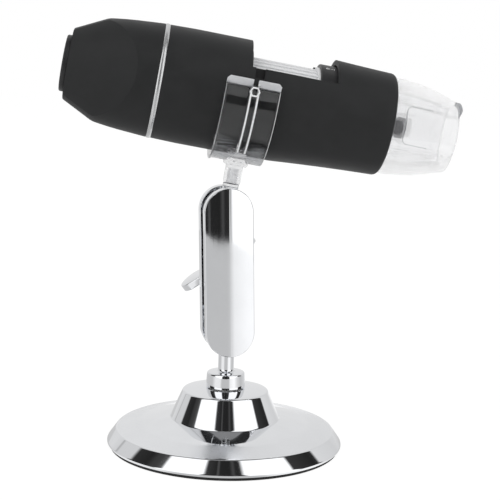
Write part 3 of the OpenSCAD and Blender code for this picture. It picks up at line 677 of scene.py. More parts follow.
class Bench:
    """Modelling moves that the sub-assemblies share, done with Blender's own operators."""

    @staticmethod
    def clear() -> None:
        """Leaves edit mode and deselects everything."""
        if bpy.context.object and bpy.context.object.mode != "OBJECT":
            bpy.ops.object.mode_set(mode="OBJECT")
        bpy.ops.object.select_all(action="DESELECT")

    @staticmethod
    def pick(shape: Shape) -> None:
        """Makes one shape the only selected and active one.

        Args:
            shape: The shape.
        """
        Bench.clear()
        shape.select_set(True)
        bpy.context.view_layer.objects.active = shape

    @staticmethod
    def bake() -> None:
        """Bakes the picked shape's place, turn and scale into its mesh."""
        bpy.ops.object.transform_apply(location=True, rotation=True, scale=True)

    @staticmethod
    def choose(shape: Shape, test: Callable[[Vector], bool]) -> None:
        """Selects, in edit mode, the vertices whose place passes a test.

        Args:
            shape: The shape.
            test: The test.
        """
        mesh = bmesh.from_edit_mesh(shape.data)
        for vertex in mesh.verts:
            vertex.select = test(vertex.co)
        mesh.select_flush(True)
        mesh.select_flush(False)
        bmesh.update_edit_mesh(shape.data)

    @staticmethod
    def choose_faces(shape: Shape, test: Callable[[Vector, Vector], bool]) -> None:
        """Selects, in edit mode, the faces whose centre and normal pass a test.

        Args:
            shape: The shape.
            test: The test.
        """
        bpy.ops.mesh.select_mode(type="FACE")
        mesh = bmesh.from_edit_mesh(shape.data)
        mesh.normal_update()
        for face in mesh.faces:
            face.select_set(test(face.calc_center_median(), face.normal))
        bmesh.update_edit_mesh(shape.data)

    @staticmethod
    def extrude(rise: float) -> None:
        """Pulls what is selected up along Z, in millimetres."""
        bpy.ops.mesh.extrude_region_move(TRANSFORM_OT_translate={"value": (0, 0, rise * MM)})

    @staticmethod
    def close_edit(shape: Shape, name: str) -> Shape:
        """Turns all faces outwards, leaves edit mode and names the shape.

        Args:
            shape: The shape.
            name: Its name.

        Returns:
            The shape.
        """
        bpy.ops.mesh.select_mode(type="VERT")
        bpy.ops.mesh.select_all(action="SELECT")
        bpy.ops.mesh.remove_doubles(threshold=WELD_M)
        bpy.ops.mesh.normals_make_consistent(inside=False)
        bpy.ops.object.mode_set(mode="OBJECT")
        shape.name = name
        shape.data.name = name
        return shape

    @staticmethod
    def lathe(name: str, profile: Sequence[Point], sides: int = 128, place: Matrix | None = None) -> Shape:
        """Turns a profile about Z by drawing ring after ring out of a circle.

        Args:
            name: The new shape's name.
            profile: Radius and height of each ring, in millimetres. It either ends where it began,
                or its first and last rings are closed by flat faces.
            sides: How many sides the rings have.
            place: Where the shape then goes.

        Returns:
            The new shape.
        """
        Bench.clear()
        radius, height = profile[0]
        bpy.ops.mesh.primitive_circle_add(vertices=sides, radius=radius * MM, enter_editmode=True)
        shape = bpy.context.object
        bpy.ops.transform.translate(value=(0, 0, height * MM))
        for next_radius, next_height in profile[1:]:
            Bench.extrude(next_height - height)
            growth = next_radius / radius
            if growth != 1:
                bpy.ops.transform.resize(value=(growth, growth, 1), center_override=(0, 0, next_height * MM))
            radius, height = next_radius, next_height
        if profile[-1] != profile[0]:
            bpy.ops.mesh.edge_face_add()
            first_radius, first_height = profile[0]
            Bench.choose(shape, lambda co: abs(co.z - first_height * MM) < SAME_M
                         and abs(co.xy.length - first_radius * MM) < SAME_M)
            bpy.ops.mesh.edge_face_add()
        Bench.close_edit(shape, name)
        return Bench.move(shape, place) if place else shape

    @staticmethod
    def rod(radius: float, low: float, high: float, sides: int = 64, place: Matrix | None = None) -> Shape:
        """Turns a plain rod, to cut with."""
        return Bench.lathe("rod", [(radius, low), (radius, high)], sides, place)

    @staticmethod
    def prism(name: str, outline: Sequence[Point], low: float, high: float) -> Shape:
        """Draws an outline point by point in the XY plane and pulls it up between two heights.

        Args:
            name: The new shape's name.
            outline: The points in order, in millimetres.
            low: The lower height.
            high: The upper height.

        Returns:
            The new shape.
        """
        Bench.clear()
        bpy.ops.mesh.primitive_plane_add(size=MM, enter_editmode=True)
        shape = bpy.context.object
        bpy.ops.mesh.merge(type="CENTER")
        at_x, at_y = outline[0]
        bpy.ops.transform.translate(value=(at_x * MM, at_y * MM, low * MM))
        for next_x, next_y in outline[1:]:
            step = {"value": ((next_x - at_x) * MM, (next_y - at_y) * MM, 0)}
            bpy.ops.mesh.extrude_vertices_move(TRANSFORM_OT_translate=step)
            at_x, at_y = next_x, next_y
        bpy.ops.mesh.select_all(action="SELECT")
        bpy.ops.mesh.edge_face_add()
        Bench.extrude(high - low)
        return Bench.close_edit(shape, name)

    @staticmethod
    def block(name: str, low: Sequence[float], high: Sequence[float]) -> Shape:
        """Adds a box between two corners, to be shaped further or to cut with.

        Args:
            name: The new shape's name.
            low: The corner with the smallest numbers, in millimetres.
            high: The corner with the largest numbers.

        Returns:
            The new shape.
        """
        Bench.clear()
        middle = [(a + b) / 2 * MM for a, b in zip(low, high)]
        bpy.ops.mesh.primitive_cube_add(size=1, location=middle)
        shape = bpy.context.object
        shape.scale = [(b - a) * MM for a, b in zip(low, high)]
        Bench.bake()
        shape.name = name
        return shape

    @staticmethod
    def ball(radius: float, center: Sequence[float]) -> Shape:
        """Adds a fine ball, to cut with.

        Args:
            radius: Its radius, in millimetres.
            center: Its centre.

        Returns:
            The ball.
        """
        Bench.clear()
        place = [value * MM for value in center]
        bpy.ops.mesh.primitive_uv_sphere_add(segments=64, ring_count=32, radius=radius * MM, location=place)
        Bench.bake()
        return bpy.context.object

    @staticmethod
    def modify(shape: Shape, kind: str, **settings: object) -> Shape:
        """Adds a modifier, sets it and applies it.

        Args:
            shape: The shape.
            kind: The modifier's type.
            **settings: What is set on it.

        Returns:
            The shape.
        """
        Bench.pick(shape)
        step = shape.modifiers.new("step", kind)
        for key, value in settings.items():
            setattr(step, key, value)
        bpy.ops.object.modifier_apply(modifier=step.name)
        return shape

    @staticmethod
    def combine(shape: Shape, tool: Shape, way: Way = Way.CUT) -> Shape:
        """Works one shape on another and removes the tool.

        Args:
            shape: The shape that stays.
            tool: The shape that cuts it, joins it or keeps what both share.
            way: Which of these it does.

        Returns:
            The shape that stays.
        """
        Bench.modify(shape, "BOOLEAN", object=tool, operation=way.value, solver="EXACT")
        bpy.data.objects.remove(tool, do_unlink=True)
        return shape

    @staticmethod
    def ease(shape: Shape, width: float, segments: int = 2, angle: float = 32, clamp: bool = True) -> Shape:
        """Rounds the edges of a shape that are sharper than an angle by a width in millimetres."""
        return Bench.modify(shape, "BEVEL", width=width * MM, segments=segments, limit_method="ANGLE",
                            angle_limit=math.radians(angle), use_clamp_overlap=clamp)

    @staticmethod
    def even(shape: Shape) -> Shape:
        """Lets the large faces of a smooth shape set the shading where they meet small ones."""
        return Bench.modify(shape, "WEIGHTED_NORMAL", mode="FACE_AREA", weight=90, keep_sharp=True)

    @staticmethod
    def move(shape: Shape, place: Matrix) -> Shape:
        """Puts a shape in place and bakes the place into its mesh.

        Args:
            shape: The shape.
            place: The place.

        Returns:
            The shape.
        """
        Bench.pick(shape)
        shape.matrix_world = place
        Bench.bake()
        return shape

    @staticmethod
    def flip(shape: Shape) -> None:
        """Mirrors a shape along Y and turns its faces outwards again.

        Args:
            shape: The shape.
        """
        Bench.pick(shape)
        shape.scale = (1, -1, 1)
        Bench.bake()
        bpy.ops.object.mode_set(mode="EDIT")
        bpy.ops.mesh.select_all(action="SELECT")
        bpy.ops.mesh.normals_make_consistent(inside=False)
        bpy.ops.object.mode_set(mode="OBJECT")

    @staticmethod
    def copy(shape: Shape, place: Matrix) -> Shape:
        """Copies a shape with a mesh of its own and puts the copy in place.

        Args:
            shape: The shape.
            place: Where the copy goes.

        Returns:
            The copy.
        """
        twin = shape.copy()
        twin.data = shape.data.copy()
        bpy.context.collection.objects.link(twin)
        return Bench.move(twin, place)

    @staticmethod
    def join(shapes: Sequence[Shape], name: str) -> Shape:
        """Joins shapes into one.

        Args:
            shapes: The shapes.
            name: The name of what comes out.

        Returns:
            The joined shape.
        """
        Bench.pick(shapes[0])
        for shape in shapes:
            shape.select_set(True)
        bpy.ops.object.join()
        shapes[0].name = name
        return shapes[0]

    @staticmethod
    def smooth(shape: Shape, angle: float = SMOOTH_UNDER) -> Shape:
        """Shades a shape smooth.

        Args:
            shape: The shape.
            angle: The angle over which an edge stays sharp, in degrees.

        Returns:
            The shape.
        """
        Bench.pick(shape)
        bpy.ops.object.shade_smooth_by_angle(angle=math.radians(angle))
        return shape


@dataclass
class Assembly:
    """A sub-assembly of the object. It rides on one body unless a piece says otherwise."""

    body: str = ""

    def dress(self, shape: Shape, finish: Finish, slot: str, *nodes: str, body: str = "") -> None:
        """Gives a finished piece its material, its body and the frame nodes that it stands for.

        Args:
            shape: The finished piece.
            finish: Its finish.
            slot: The record's material slot; not used.
            nodes: The frame nodes that it replaces.
            body: The body that it rides on, where that isn't the sub-assembly's own.
        """
        shape.data.materials.clear()
        shape.data.materials.append(finish.material())
        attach(shape, body or self.body)
        if nodes:
            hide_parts(*nodes)
        LOG.info("%s: %d faces, rides on %s", shape.name, len(shape.data.polygons), body or self.body)


@dataclass
class StandBase(Assembly):
    """The pressed chrome base with its pad and the bush in its top."""

    body: str = "base"
    base_r: float = 35.0
    waist_z: float = 1.6
    edge_round: float = 0.7
    rim_r: float = 32.73
    rim_z: float = 5.5
    rim_fall: float = 0.24
    wall: float = 1.3
    foot_r: float = 16.3
    foot_z: float = 8.7
    top_r: float = 12.95
    top_z: float = 17.1
    top_rise: float = 0.7
    top_round: float = 0.8
    hole_r: float = 4.57
    bore_r: float = 2.57
    pad_r: float = 34.2
    pad_t: float = 1.2
    weight_r: float = 31.6

    def build(self) -> None:
        """Makes the base's three visible pieces."""
        self.shell()
        self.pad()
        self.bush()

    def shell(self) -> None:
        """Turns the pressed shell, with its rolled rim, dished top and rounded cone."""
        slope = math.degrees(math.atan2(self.top_z - self.foot_z, self.foot_r - self.top_r))
        edge_rise = self.rim_z - self.waist_z - self.edge_round
        edge_slope = math.degrees(math.atan2(edge_rise, self.base_r - self.rim_r + 0.05))
        rim_start = 90 - math.degrees(math.atan(self.rim_fall))
        top_edge = (self.top_r - self.top_round, self.top_z - self.top_round)
        waist = (self.base_r - self.edge_round, self.waist_z)
        inner_z = self.rim_z - self.wall
        profile = [
            *self.top(), *rounded(top_edge, self.top_round, 79, 90 - slope, 6),
            *near((self.foot_r, self.foot_z), (-0.12, 0.3), (-0.05, 0.15)), *self.dish(),
            *rounded((self.rim_r - 0.75, self.rim_z - 0.7), 0.72, rim_start, 90 - edge_slope, 6),
            *rounded(waist, self.edge_round, 90 - edge_slope, -60, 8),
            *near((self.pad_r, self.pad_t), (0.2, 0.05), (0, 0)), (self.weight_r + 0.05, self.pad_t),
            (self.weight_r + 0.05, inner_z), (self.foot_r - 0.4, inner_z),
            (self.foot_r - self.wall, self.foot_z - 0.8), (self.top_r - self.wall, self.top_z - 2),
            (self.hole_r, self.top_z - 2),
        ]
        shape = Bench.lathe("pressed_base", loop(profile), 224)
        self.dress(Bench.smooth(shape, 28), Paint.PRESSED, "chrome", "base_shell")

    def top(self) -> list[Point]:
        """Gives the slightly domed top of the cone, from the hole to its rounded edge."""
        run = self.top_r - self.top_round - self.hole_r
        steps = 8
        return [(self.hole_r + run * i / steps, self.top_z + self.top_rise * (1 - (i / steps) ** 2))
                for i in range(steps)]

    def dish(self) -> list[Point]:
        """Gives the slightly domed ring from the cone's foot out to the rim."""
        run = self.rim_r - self.foot_r - 0.68
        bow = self.foot_z - self.rim_z - self.rim_fall * run
        steps = 15
        points = []
        for i in range(steps + 1):
            left = 1 - i / steps
            height = self.rim_z + self.rim_fall * run * left + bow * left * left
            points.append((self.foot_r + 0.1 + run * (1 - left), height))
        return points

    def pad(self) -> None:
        """Turns the foam pad, with a soft lower edge."""
        edge = rounded((self.pad_r - 0.3, 0.3), 0.3, -80, 0, 4)
        profile = [(0.5, 0.0), *edge, (self.pad_r, self.pad_t), (0.5, self.pad_t)]
        shape = Bench.lathe("foam_pad", profile, 160)
        self.dress(Bench.smooth(shape, 35), Paint.FOAM, "foam", "base_pad")

    def bush(self) -> None:
        """Turns the flanged bush that the stud runs in."""
        low = self.top_z - 1.9
        high = self.top_z + self.top_rise
        profile = [
            (self.bore_r, low), (self.hole_r - 0.03, low), (self.hole_r - 0.03, high),
            *rounded((self.hole_r + 0.4, high + 0.12), 0.12, -60, 90, 4),
            *near((self.bore_r, high), (0.2, 0.24), (0, 0.1)),
        ]
        shape = Bench.lathe("top_bush", loop(profile), 96)
        self.dress(Bench.smooth(shape), Paint.BUSH, "bush_plastic", "swivel_bush")


@dataclass
class Stud(Assembly):
    """The turned stud: shank, collar, post and ball."""

    body: str = "stud"
    shank_r: float = 2.5
    shank_foot: float = 9.3
    collar_r: float = 5.8
    collar_low: float = 18.05
    collar_top: float = 22.5
    post_r: float = 2.35
    ball_r: float = 4.0
    ball_z: float = 35.5

    def build(self) -> None:
        """Turns the stud from its foot to the top of the ball."""
        neck = math.degrees(math.acos(self.post_r / self.ball_r))
        profile = [
            *near((self.shank_r, self.shank_foot), (-0.4, 0), (0, 0.4)), (self.shank_r, self.collar_low),
            *near((self.collar_r, self.collar_low), (-0.15, 0), (-0.02, 0.12), (0, 1.5)),
            *rounded((self.collar_r - 0.75, self.collar_top - 0.6), 0.6, 4, 75, 6),
            (self.collar_r - 1.3, self.collar_top + 0.02), (self.post_r + 0.9, self.collar_top + 0.2),
            *rounded((self.post_r + 0.75, self.collar_top + 0.95), 0.75, 265, 180, 6),
            (self.post_r, self.ball_z - 4.2), *rounded((0, self.ball_z), self.ball_r, -neck, 88, 22),
        ]
        shape = Bench.lathe("turned_stud", profile, 128)
        self.dress(Bench.smooth(shape, 40), Paint.CHROME, "chrome", "ball_stud")


@dataclass
class Arm(Assembly):
    """Two crowned plates that clamp both balls, with their screw and wing nut."""

    body: str = "arm"
    half_width: float = 7.25
    gap: float = 2.65
    rim: float = 3.0
    crown: float = 1.0
    wall: float = 1.2
    ball_r: float = 4.0
    screw_r: float = 2.0
    head_over: float = 1.3
    ledge_over: float = 1.35
    ledge_z: float = 0.7
    pitch: float = 0.7
    wing_reach: float = 13.3
    wing_r: float = 4.5
    wing_t: float = 2.2
    wing_angle: float = 34.0
    washer_t: float = 0.7
    hub_len: float = 5.2

    def build(self) -> None:
        """Makes the plates, the screw, the washer and the wing nut."""
        front = Bench.move(self.plate("front_plate", cavity=True), LAYOUT.arm() @ UPRIGHT)
        self.dress(front, Paint.CHROME, "chrome", "arm_front_shell")
        back = Bench.move(self.plate("rear_plate", cavity=False), LAYOUT.arm() @ (turned(180, "Z") @ UPRIGHT))
        self.dress(back, Paint.CHROME, "chrome", "arm_back_shell", body="arm_back")
        self.screw()
        self.washer()
        self.wing_nut()

    def face(self) -> float:
        """Returns the height of the crowned face over the arm's middle."""
        return self.gap + self.rim + self.crown

    def seat(self) -> float:
        """Returns the height of the flat spot under the washer."""
        return self.face() - 0.35

    def bar(self, name: str, radius: float, low: float, high: float, sides: int = 112) -> Shape:
        """Draws a round-ended bar along Y by pulling half a disc up, then gives it its thickness.

        Args:
            name: The bar's name.
            radius: The radius of its ends.
            low: Its lower face.
            high: Its upper face.
            sides: How many sides its two ends have together.

        Returns:
            The bar.
        """
        Bench.clear()
        bpy.ops.mesh.primitive_circle_add(
            vertices=sides, radius=radius * MM, fill_type="NGON", enter_editmode=True)
        shape = bpy.context.object
        bpy.ops.mesh.select_all(action="SELECT")
        bpy.ops.transform.rotate(value=math.pi / sides, orient_axis="Z", center_override=(0, 0, 0))
        bpy.ops.transform.translate(value=(0, 0, low * MM))
        Bench.choose(shape, lambda co: co.y > 0)
        bpy.ops.transform.translate(value=(0, LAYOUT.ball_span * MM, 0))
        bpy.ops.mesh.select_all(action="SELECT")
        Bench.extrude(high - low)
        return Bench.close_edit(shape, name)

    def arch(self, sides: int, extra: float) -> Shape:
        """Makes the wide roller that a plate's crowned face is a strip of.

        Args:
            sides: How many sides it has.
            extra: How much its radius is larger than the face's.

        Returns:
            The roller.
        """
        arch_r = (self.half_width ** 2 + self.crown ** 2) / (2 * self.crown)
        span = LAYOUT.ball_span
        Bench.clear()
        bpy.ops.mesh.primitive_cylinder_add(
            vertices=sides, radius=(arch_r + extra) * MM, depth=3 * span * MM,
            rotation=(math.radians(90), 0, 0), location=(0, span / 2 * MM, (self.face() - arch_r) * MM))
        Bench.bake()
        return bpy.context.object

    def plate(self, name: str, cavity: bool) -> Shape:
        """Makes one plate, its gap side down: crowned on top, hollow below.

        Args:
            name: The plate's name.
            cavity: Whether it holds the screw's head, or else lets the screw through.

        Returns:
            The plate, still at the origin.
        """
        span = LAYOUT.ball_span
        over = self.face() + 1
        shape = self.bar(name, self.half_width, self.gap, over)
        Bench.combine(shape, self.arch(60, 0.045), Way.KEEP)
        Bench.ease(shape, 0.3, 5, 40, clamp=False)
        Bench.combine(shape, self.arch(900, 0), Way.KEEP)
        hollow = self.bar("hollow", self.half_width - self.wall, self.gap - 1, self.gap + self.rim - 0.6)
        ball_boss = self.ball_r + 1.4
        for place, radius in ((0, ball_boss), (span, ball_boss), (span / 2, self.screw_r + 2.4)):
            Bench.combine(hollow, Bench.rod(radius, 0, 9, 64, shifted(0, place, 0)))
        Bench.combine(hollow, Bench.block("web", (-0.6, 0, 0), (0.6, span, 9)))
        Bench.combine(shape, hollow)
        for place in (0, span):
            Bench.combine(shape, Bench.ball(self.ball_r + 0.035, (0, place, 0)))
        if cavity:
            hole_r = self.screw_r + 0.05
            ledge_r = self.screw_r + self.ledge_over
            sides = 64
            heights = (self.gap + self.ledge_z, self.gap + 2.05)
        else:
            hole_r = self.screw_r + 0.07
            ledge_r = self.screw_r + 2.7
            sides = 96
            heights = (self.seat(), over)
        steps = [(hole_r, 0), (hole_r, heights[0]), (ledge_r, heights[0]), (ledge_r, heights[1])]
        Bench.combine(shape, Bench.lathe("hole", steps, sides, shifted(0, span / 2, 0)))
        Bench.ease(shape, 0.15, 2, 40)
        return Bench.even(Bench.smooth(shape, 30))

    def screw(self) -> None:
        """Turns the screw with its head and its thread's ridges."""
        stop = self.seat() + self.washer_t + self.hub_len + 1.6
        thread, end = ridges(self.screw_r, 0.28, self.pitch, self.gap, stop - self.pitch)
        under = -(self.gap + self.ledge_z)
        head = near((self.screw_r, under), (self.head_over, -1.3), (self.head_over, 0), (0, 0))
        profile = [*head, *thread, (self.screw_r, end), (self.screw_r - 0.4, stop)]
        shape = Bench.lathe("clamp_thread", profile, 64, LAYOUT.clamp() @ ALONG_Y)
        self.dress(Bench.smooth(shape, 20), Paint.STEEL, "steel", "clamp_screw")

    def washer(self) -> None:
        """Turns the washer under the wing nut."""
        inner = self.screw_r + 0.07
        outer = self.screw_r + 2.4
        low = self.seat()
        high = low + self.washer_t
        profile = [
            (inner, low), *near((outer, low), (-0.1, 0), (0, 0.1)),
            *near((outer, high), (0, -0.15), (-0.15, 0)), (inner, high),
        ]
        shape = Bench.lathe("bright_washer", loop(profile), 96, LAYOUT.clamp() @ ALONG_Y)
        self.dress(Bench.smooth(shape), Paint.STEEL, "steel", "clamp_washer", body="arm_back")

    def wing_nut(self) -> None:
        """Makes the wing nut: a tapered hub with two swept round ears."""
        low = self.seat() + self.washer_t
        top = low + self.hub_len
        inner = self.screw_r + 0.04
        hub_r = self.screw_r + 2
        hub = [
            (inner, low + 0.02), *near((hub_r, low), (-0.3, 0.02), (0, 0.4)),
            *near((hub_r, top), (-0.6, -0.3), (-1, 0)), (inner, top),
        ]
        shape = Bench.lathe("butterfly_nut", loop(hub), 96, ALONG_Y)
        outline = rounded((self.wing_reach - self.wing_r, low + 6.7), self.wing_r, -60, 150, 28)
        outline += [(hub_r - 1.3, top - 0.4), *near((hub_r, low), (-1.6, 0.6), (0, 0.5))]
        ear = Bench.prism("ear", outline, -self.wing_t / 2, self.wing_t / 2)
        Bench.ease(ear, 0.3, 3)
        for side in (180, 0):
            Bench.combine(shape, Bench.copy(ear, turned(side - self.wing_angle, "Y")), Way.ADD)
        bpy.data.objects.remove(ear, do_unlink=True)
        Bench.ease(shape, 0.12, 2, 50)
        Bench.move(shape, LAYOUT.clamp())
        self.dress(Bench.smooth(shape), Paint.CHROME, "chrome", "wing_nut", body="wing")


@dataclass
class Holder(Assembly):
    """The clear stem with its ball, and the clear clip round the microscope."""

    body: str = "holder"
    ball_r: float = 4.0
    neck_r: float = 2.35
    neck_end: float = 8.35
    spigot_r: float = 1.5
    spigot_len: float = 4.0
    stem_side: float = 4.8
    in_r: float = 16.65
    wall: float = 2.0
    length: float = 15.3
    shift: float = 0.45
    end_angle: float = 11.5
    rib_w: float = 2.6
    rib_h: float = 1.1
    eyelet_r: float = 1.5
    eyelet_drop: float = 5.5
    boss_w: float = 6.4

    @property
    def out_r(self) -> float:
        """The band's outer radius."""
        return self.in_r + self.wall

    @property
    def back(self) -> float:
        """The band's rear edge."""
        return -self.length / 2 - self.shift

    @property
    def front(self) -> float:
        """The band's front edge."""
        return self.length / 2 - self.shift

    def build(self) -> None:
        """Makes the stem, the clip and the edges that catch the light."""
        self.stem()
        self.clip()
        self.post()
        self.lips()
        self.edges()

    def seat(self) -> Matrix:
        """Returns the place of the band's own axis."""
        return LAYOUT.holder() @ shifted(0, 0, LAYOUT.stem_reach)

    def stem(self) -> None:
        """Turns the ball, neck and spigot."""
        neck = math.degrees(math.asin(self.neck_r / self.ball_r))
        top = self.neck_end + self.spigot_len
        profile = [
            *rounded((0, 0), self.ball_r, -88, 90 - neck, 26),
            *near((self.neck_r, self.neck_end), (0, -0.2), (-0.2, 0)), (self.spigot_r, self.neck_end),
            *near((self.spigot_r, top), (0, -0.3), (-0.3, 0)),
        ]
        shape = Bench.lathe("clear_stem", profile, 96, LAYOUT.holder())
        self.dress(Bench.smooth(shape), Paint.CLEAR, "clear_plastic", "ball_stem", body="stem")

    def band(self) -> Shape:
        """Turns the open band with its rear bead and its middle rib of two raised edges."""
        half = self.rib_w / 2
        top = self.out_r + self.rib_h
        rise = near((self.out_r, half), (0, 0.2), (0.2, 0))
        rise += near((top, half), (-0.1, 0), (0, -0.1), (0, -0.5), (-0.7, -0.65))
        profile = [
            (self.in_r, self.back), (self.in_r, self.front),
            *near((self.out_r, self.front), (-0.3, 0), (0, -0.3)), *rise,
            *[(radius, -place) for radius, place in reversed(rise)],
            *near((self.out_r, self.back), (0, 0.9), (0.35, 0.6), (0.5, 0.2), (0.3, 0)),
        ]
        return Bench.lathe("clear_clip", loop(profile), 192, ALONG_X)

    def wedge(self, reach: float, angle: float) -> Shape:
        """Makes the tool that opens the band's top.

        Args:
            reach: How far it reaches to each side.
            angle: How far above level the opening ends, in degrees.

        Returns:
            The tool.
        """
        across = reach * math.cos(math.radians(angle))
        up = reach * math.sin(math.radians(angle))
        outline = [(0.0, 0.0), (across, up), (across, 2 * reach), (-across, 2 * reach), (-across, up)]
        return Bench.move(Bench.prism("wedge", outline, -self.length, self.length), CROSSWISE)

    def lip(self, side: int) -> Shape:
        """Makes the flared lip at one end of the band, with its corners cut off.

        Args:
            side: 1 for the far end, -1 for the near end.

        Returns:
            The lip.
        """
        outer = near((self.out_r, 0), (-0.05, -0.4), (0.35, 0.2), (0.9, 1.3), (0.65, 1.65), (-0.5, 1.7))
        outline = [(self.in_r + 0.15, -0.4), *outer, (self.in_r + 0.35, 0.1)]
        front = self.back + self.length
        lip = Bench.move(Bench.prism("lip", outline, self.back, front), CROSSWISE)
        for at in (self.back, front):
            corner = Bench.block("corner", (-0.75, self.in_r - 2, -0.75), (0.75, self.out_r + 4, 0.75))
            Bench.combine(lip, Bench.move(corner, shifted(at, 0, 1.9) @ turned(45, "Y")))
        if side < 0:
            Bench.flip(lip)
        return Bench.move(lip, turned(side * self.end_angle, "X"))

    def eyelet(self, side: int) -> Shape:
        """Makes the small six-sided eyelet where the rib ends.

        Args:
            side: 1 for the far end, -1 for the near end.

        Returns:
            The eyelet.
        """
        outline = rounded((0, 0), self.eyelet_r, 0, 300, 5)
        post = Bench.prism("eyelet", outline, self.out_r - 0.1, self.out_r + self.rib_h + 0.2)
        inner = rounded((0, 0), self.eyelet_r - 0.42, 0, 300, 5)
        Bench.combine(post, Bench.prism("eye", inner, self.out_r - 1, self.out_r + 4))
        Bench.ease(post, 0.08, 2)
        return Bench.move(post, turned(-side * (90 - self.end_angle + self.eyelet_drop), "X"))

    def lips(self) -> None:
        """Makes both lips, which look milky because they catch the light."""
        lips = [self.lip(side) for side in (-1, 1)]
        reach = 2 * self.in_r
        for lip in lips:
            Bench.combine(lip, Bench.block("slit", (-0.75, -reach, 0), (0.7, reach, reach)))
            Bench.ease(lip, 0.12, 2, 40)
        shape = Bench.move(Bench.join(lips, "clip_lips"), self.seat())
        self.dress(Bench.smooth(shape, 35), Paint.FROSTED, "clear_plastic")

    def edge(self, place: float, width: float, high: float, drop: float) -> Shape:
        """Turns one thin ring of painted highlight and opens its top.

        Args:
            place: Its middle along the band.
            width: How wide it is.
            high: Its outer radius.
            drop: How far below the band's ends its own ends lie, in degrees.

        Returns:
            The ring.
        """
        half = self.rib_w / 2
        low = high - 0.45
        profile = rectangle((low, place - width / 2), (high, place + width / 2))
        ring = Bench.lathe("edge", profile, 192, ALONG_X)
        if abs(place) < half:
            corners = ((-half, -self.out_r, -2 * self.out_r), (half, self.out_r, -self.in_r + 1.2))
            Bench.combine(ring, Bench.block("end", *corners))
        return Bench.combine(ring, self.wedge(3 * self.out_r, self.end_angle - drop))

    def edges(self) -> None:
        """Makes the painted highlights on the edges: both edges of the rib, both rims of the band and the
        eyelets.
        """
        top = self.out_r + self.rib_h + 0.02
        inset = self.rib_w / 2 - 0.25
        pieces = [
            self.edge(inset, 0.44, top, self.eyelet_drop), self.edge(-inset, 0.44, top, self.eyelet_drop),
            self.edge(self.back + 0.1, 0.12, self.out_r + 0.3, 2),
            self.edge(self.front - 0.1, 0.12, self.out_r + 0.03, 2), self.eyelet(-1), self.eyelet(1),
        ]
        for side in (-1, 1):
            low = (0.72, side * (self.in_r + 1.3), -0.3)
            bar = Bench.block("bar", low, (1.12, side * (self.out_r + 0.5), 1.55))
            pieces.append(Bench.move(bar, turned(side * self.end_angle, "X")))
        # Painted highlight: thin bright pieces laid along the clip's edges.
        shape = Bench.move(Bench.join(pieces, "clip_edge_highlights"), self.seat())
        self.dress(Bench.smooth(shape, 35), Paint.EDGE_HIGHLIGHT, "clear_plastic")

    def boss(self) -> Shape:
        """Makes the block that joins the stem to the band, with its flare up both sides of the rib."""
        out_r = self.out_r
        half = self.boss_w / 2
        boss = Bench.block("boss", (-half, -5, -out_r - 1), (half, 5, -out_r + 1.6))
        Bench.ease(boss, 0.4, 3)
        rib = self.rib_w / 2 + 0.1
        high = -self.in_r + 1.2
        outline = [(-half, -out_r - 1), (half, -out_r - 1), (half, -out_r + 0.5), (rib, high), (-rib, high)]
        outline.append((-half, -out_r + 0.5))
        flare = Bench.move(Bench.prism("flare", outline, -2 * out_r, 2 * out_r), UPRIGHT)
        profile = rectangle((out_r - 0.4, -half), (out_r + self.rib_h, half))
        ring = Bench.lathe("ring", profile, 192, ALONG_X)
        return Bench.combine(boss, Bench.combine(ring, flare, Way.KEEP), Way.ADD)

    def clip(self) -> None:
        """Makes the clear band, and the milky skin where it shows below the microscope."""
        shape = self.band()
        Bench.combine(shape, self.wedge(3 * self.out_r, self.end_angle))
        Bench.combine(shape, self.boss())
        Bench.ease(shape, 0.12, 2, 50)
        Bench.move(shape, self.seat())
        self.dress(Bench.smooth(shape, 35), Paint.CLEAR, "clear_plastic", "holder_clip")
        back = self.back + 0.25
        profile = rectangle((self.out_r - 0.3, back), (self.out_r + 0.03, back + self.length - 0.5))
        skin = Bench.lathe("clip_skin", profile, 192, ALONG_X)
        reach = 2 * self.out_r
        Bench.combine(skin, Bench.block("upper", (-reach, -reach, 0.45 - self.in_r), (reach, reach, reach)))
        Bench.combine(skin, self.boss())
        Bench.move(skin, self.seat())
        self.dress(Bench.smooth(skin, 35), Paint.MILKY, "clear_plastic")

    def post(self) -> None:
        """Makes the clip's square stem with the block that carries the band."""
        half = self.stem_side / 2
        foot = -LAYOUT.stem_reach + self.neck_end + 0.05
        shape = Bench.block("clip_post", (-half, -half, foot), (half, half, -self.in_r))
        Bench.ease(shape, 0.35, 3)
        Bench.combine(shape, self.boss(), Way.ADD)
        Bench.combine(shape, Bench.rod(self.in_r, -2 * self.length, 2 * self.length, 192, ALONG_X))
        top = self.neck_end + self.spigot_len + 0.3 - LAYOUT.stem_reach
        Bench.combine(shape, Bench.rod(self.spigot_r + 0.07, foot - 1, top))
        Bench.move(shape, self.seat())
        self.dress(Bench.smooth(shape, 35), Paint.STEM, "clear_plastic")


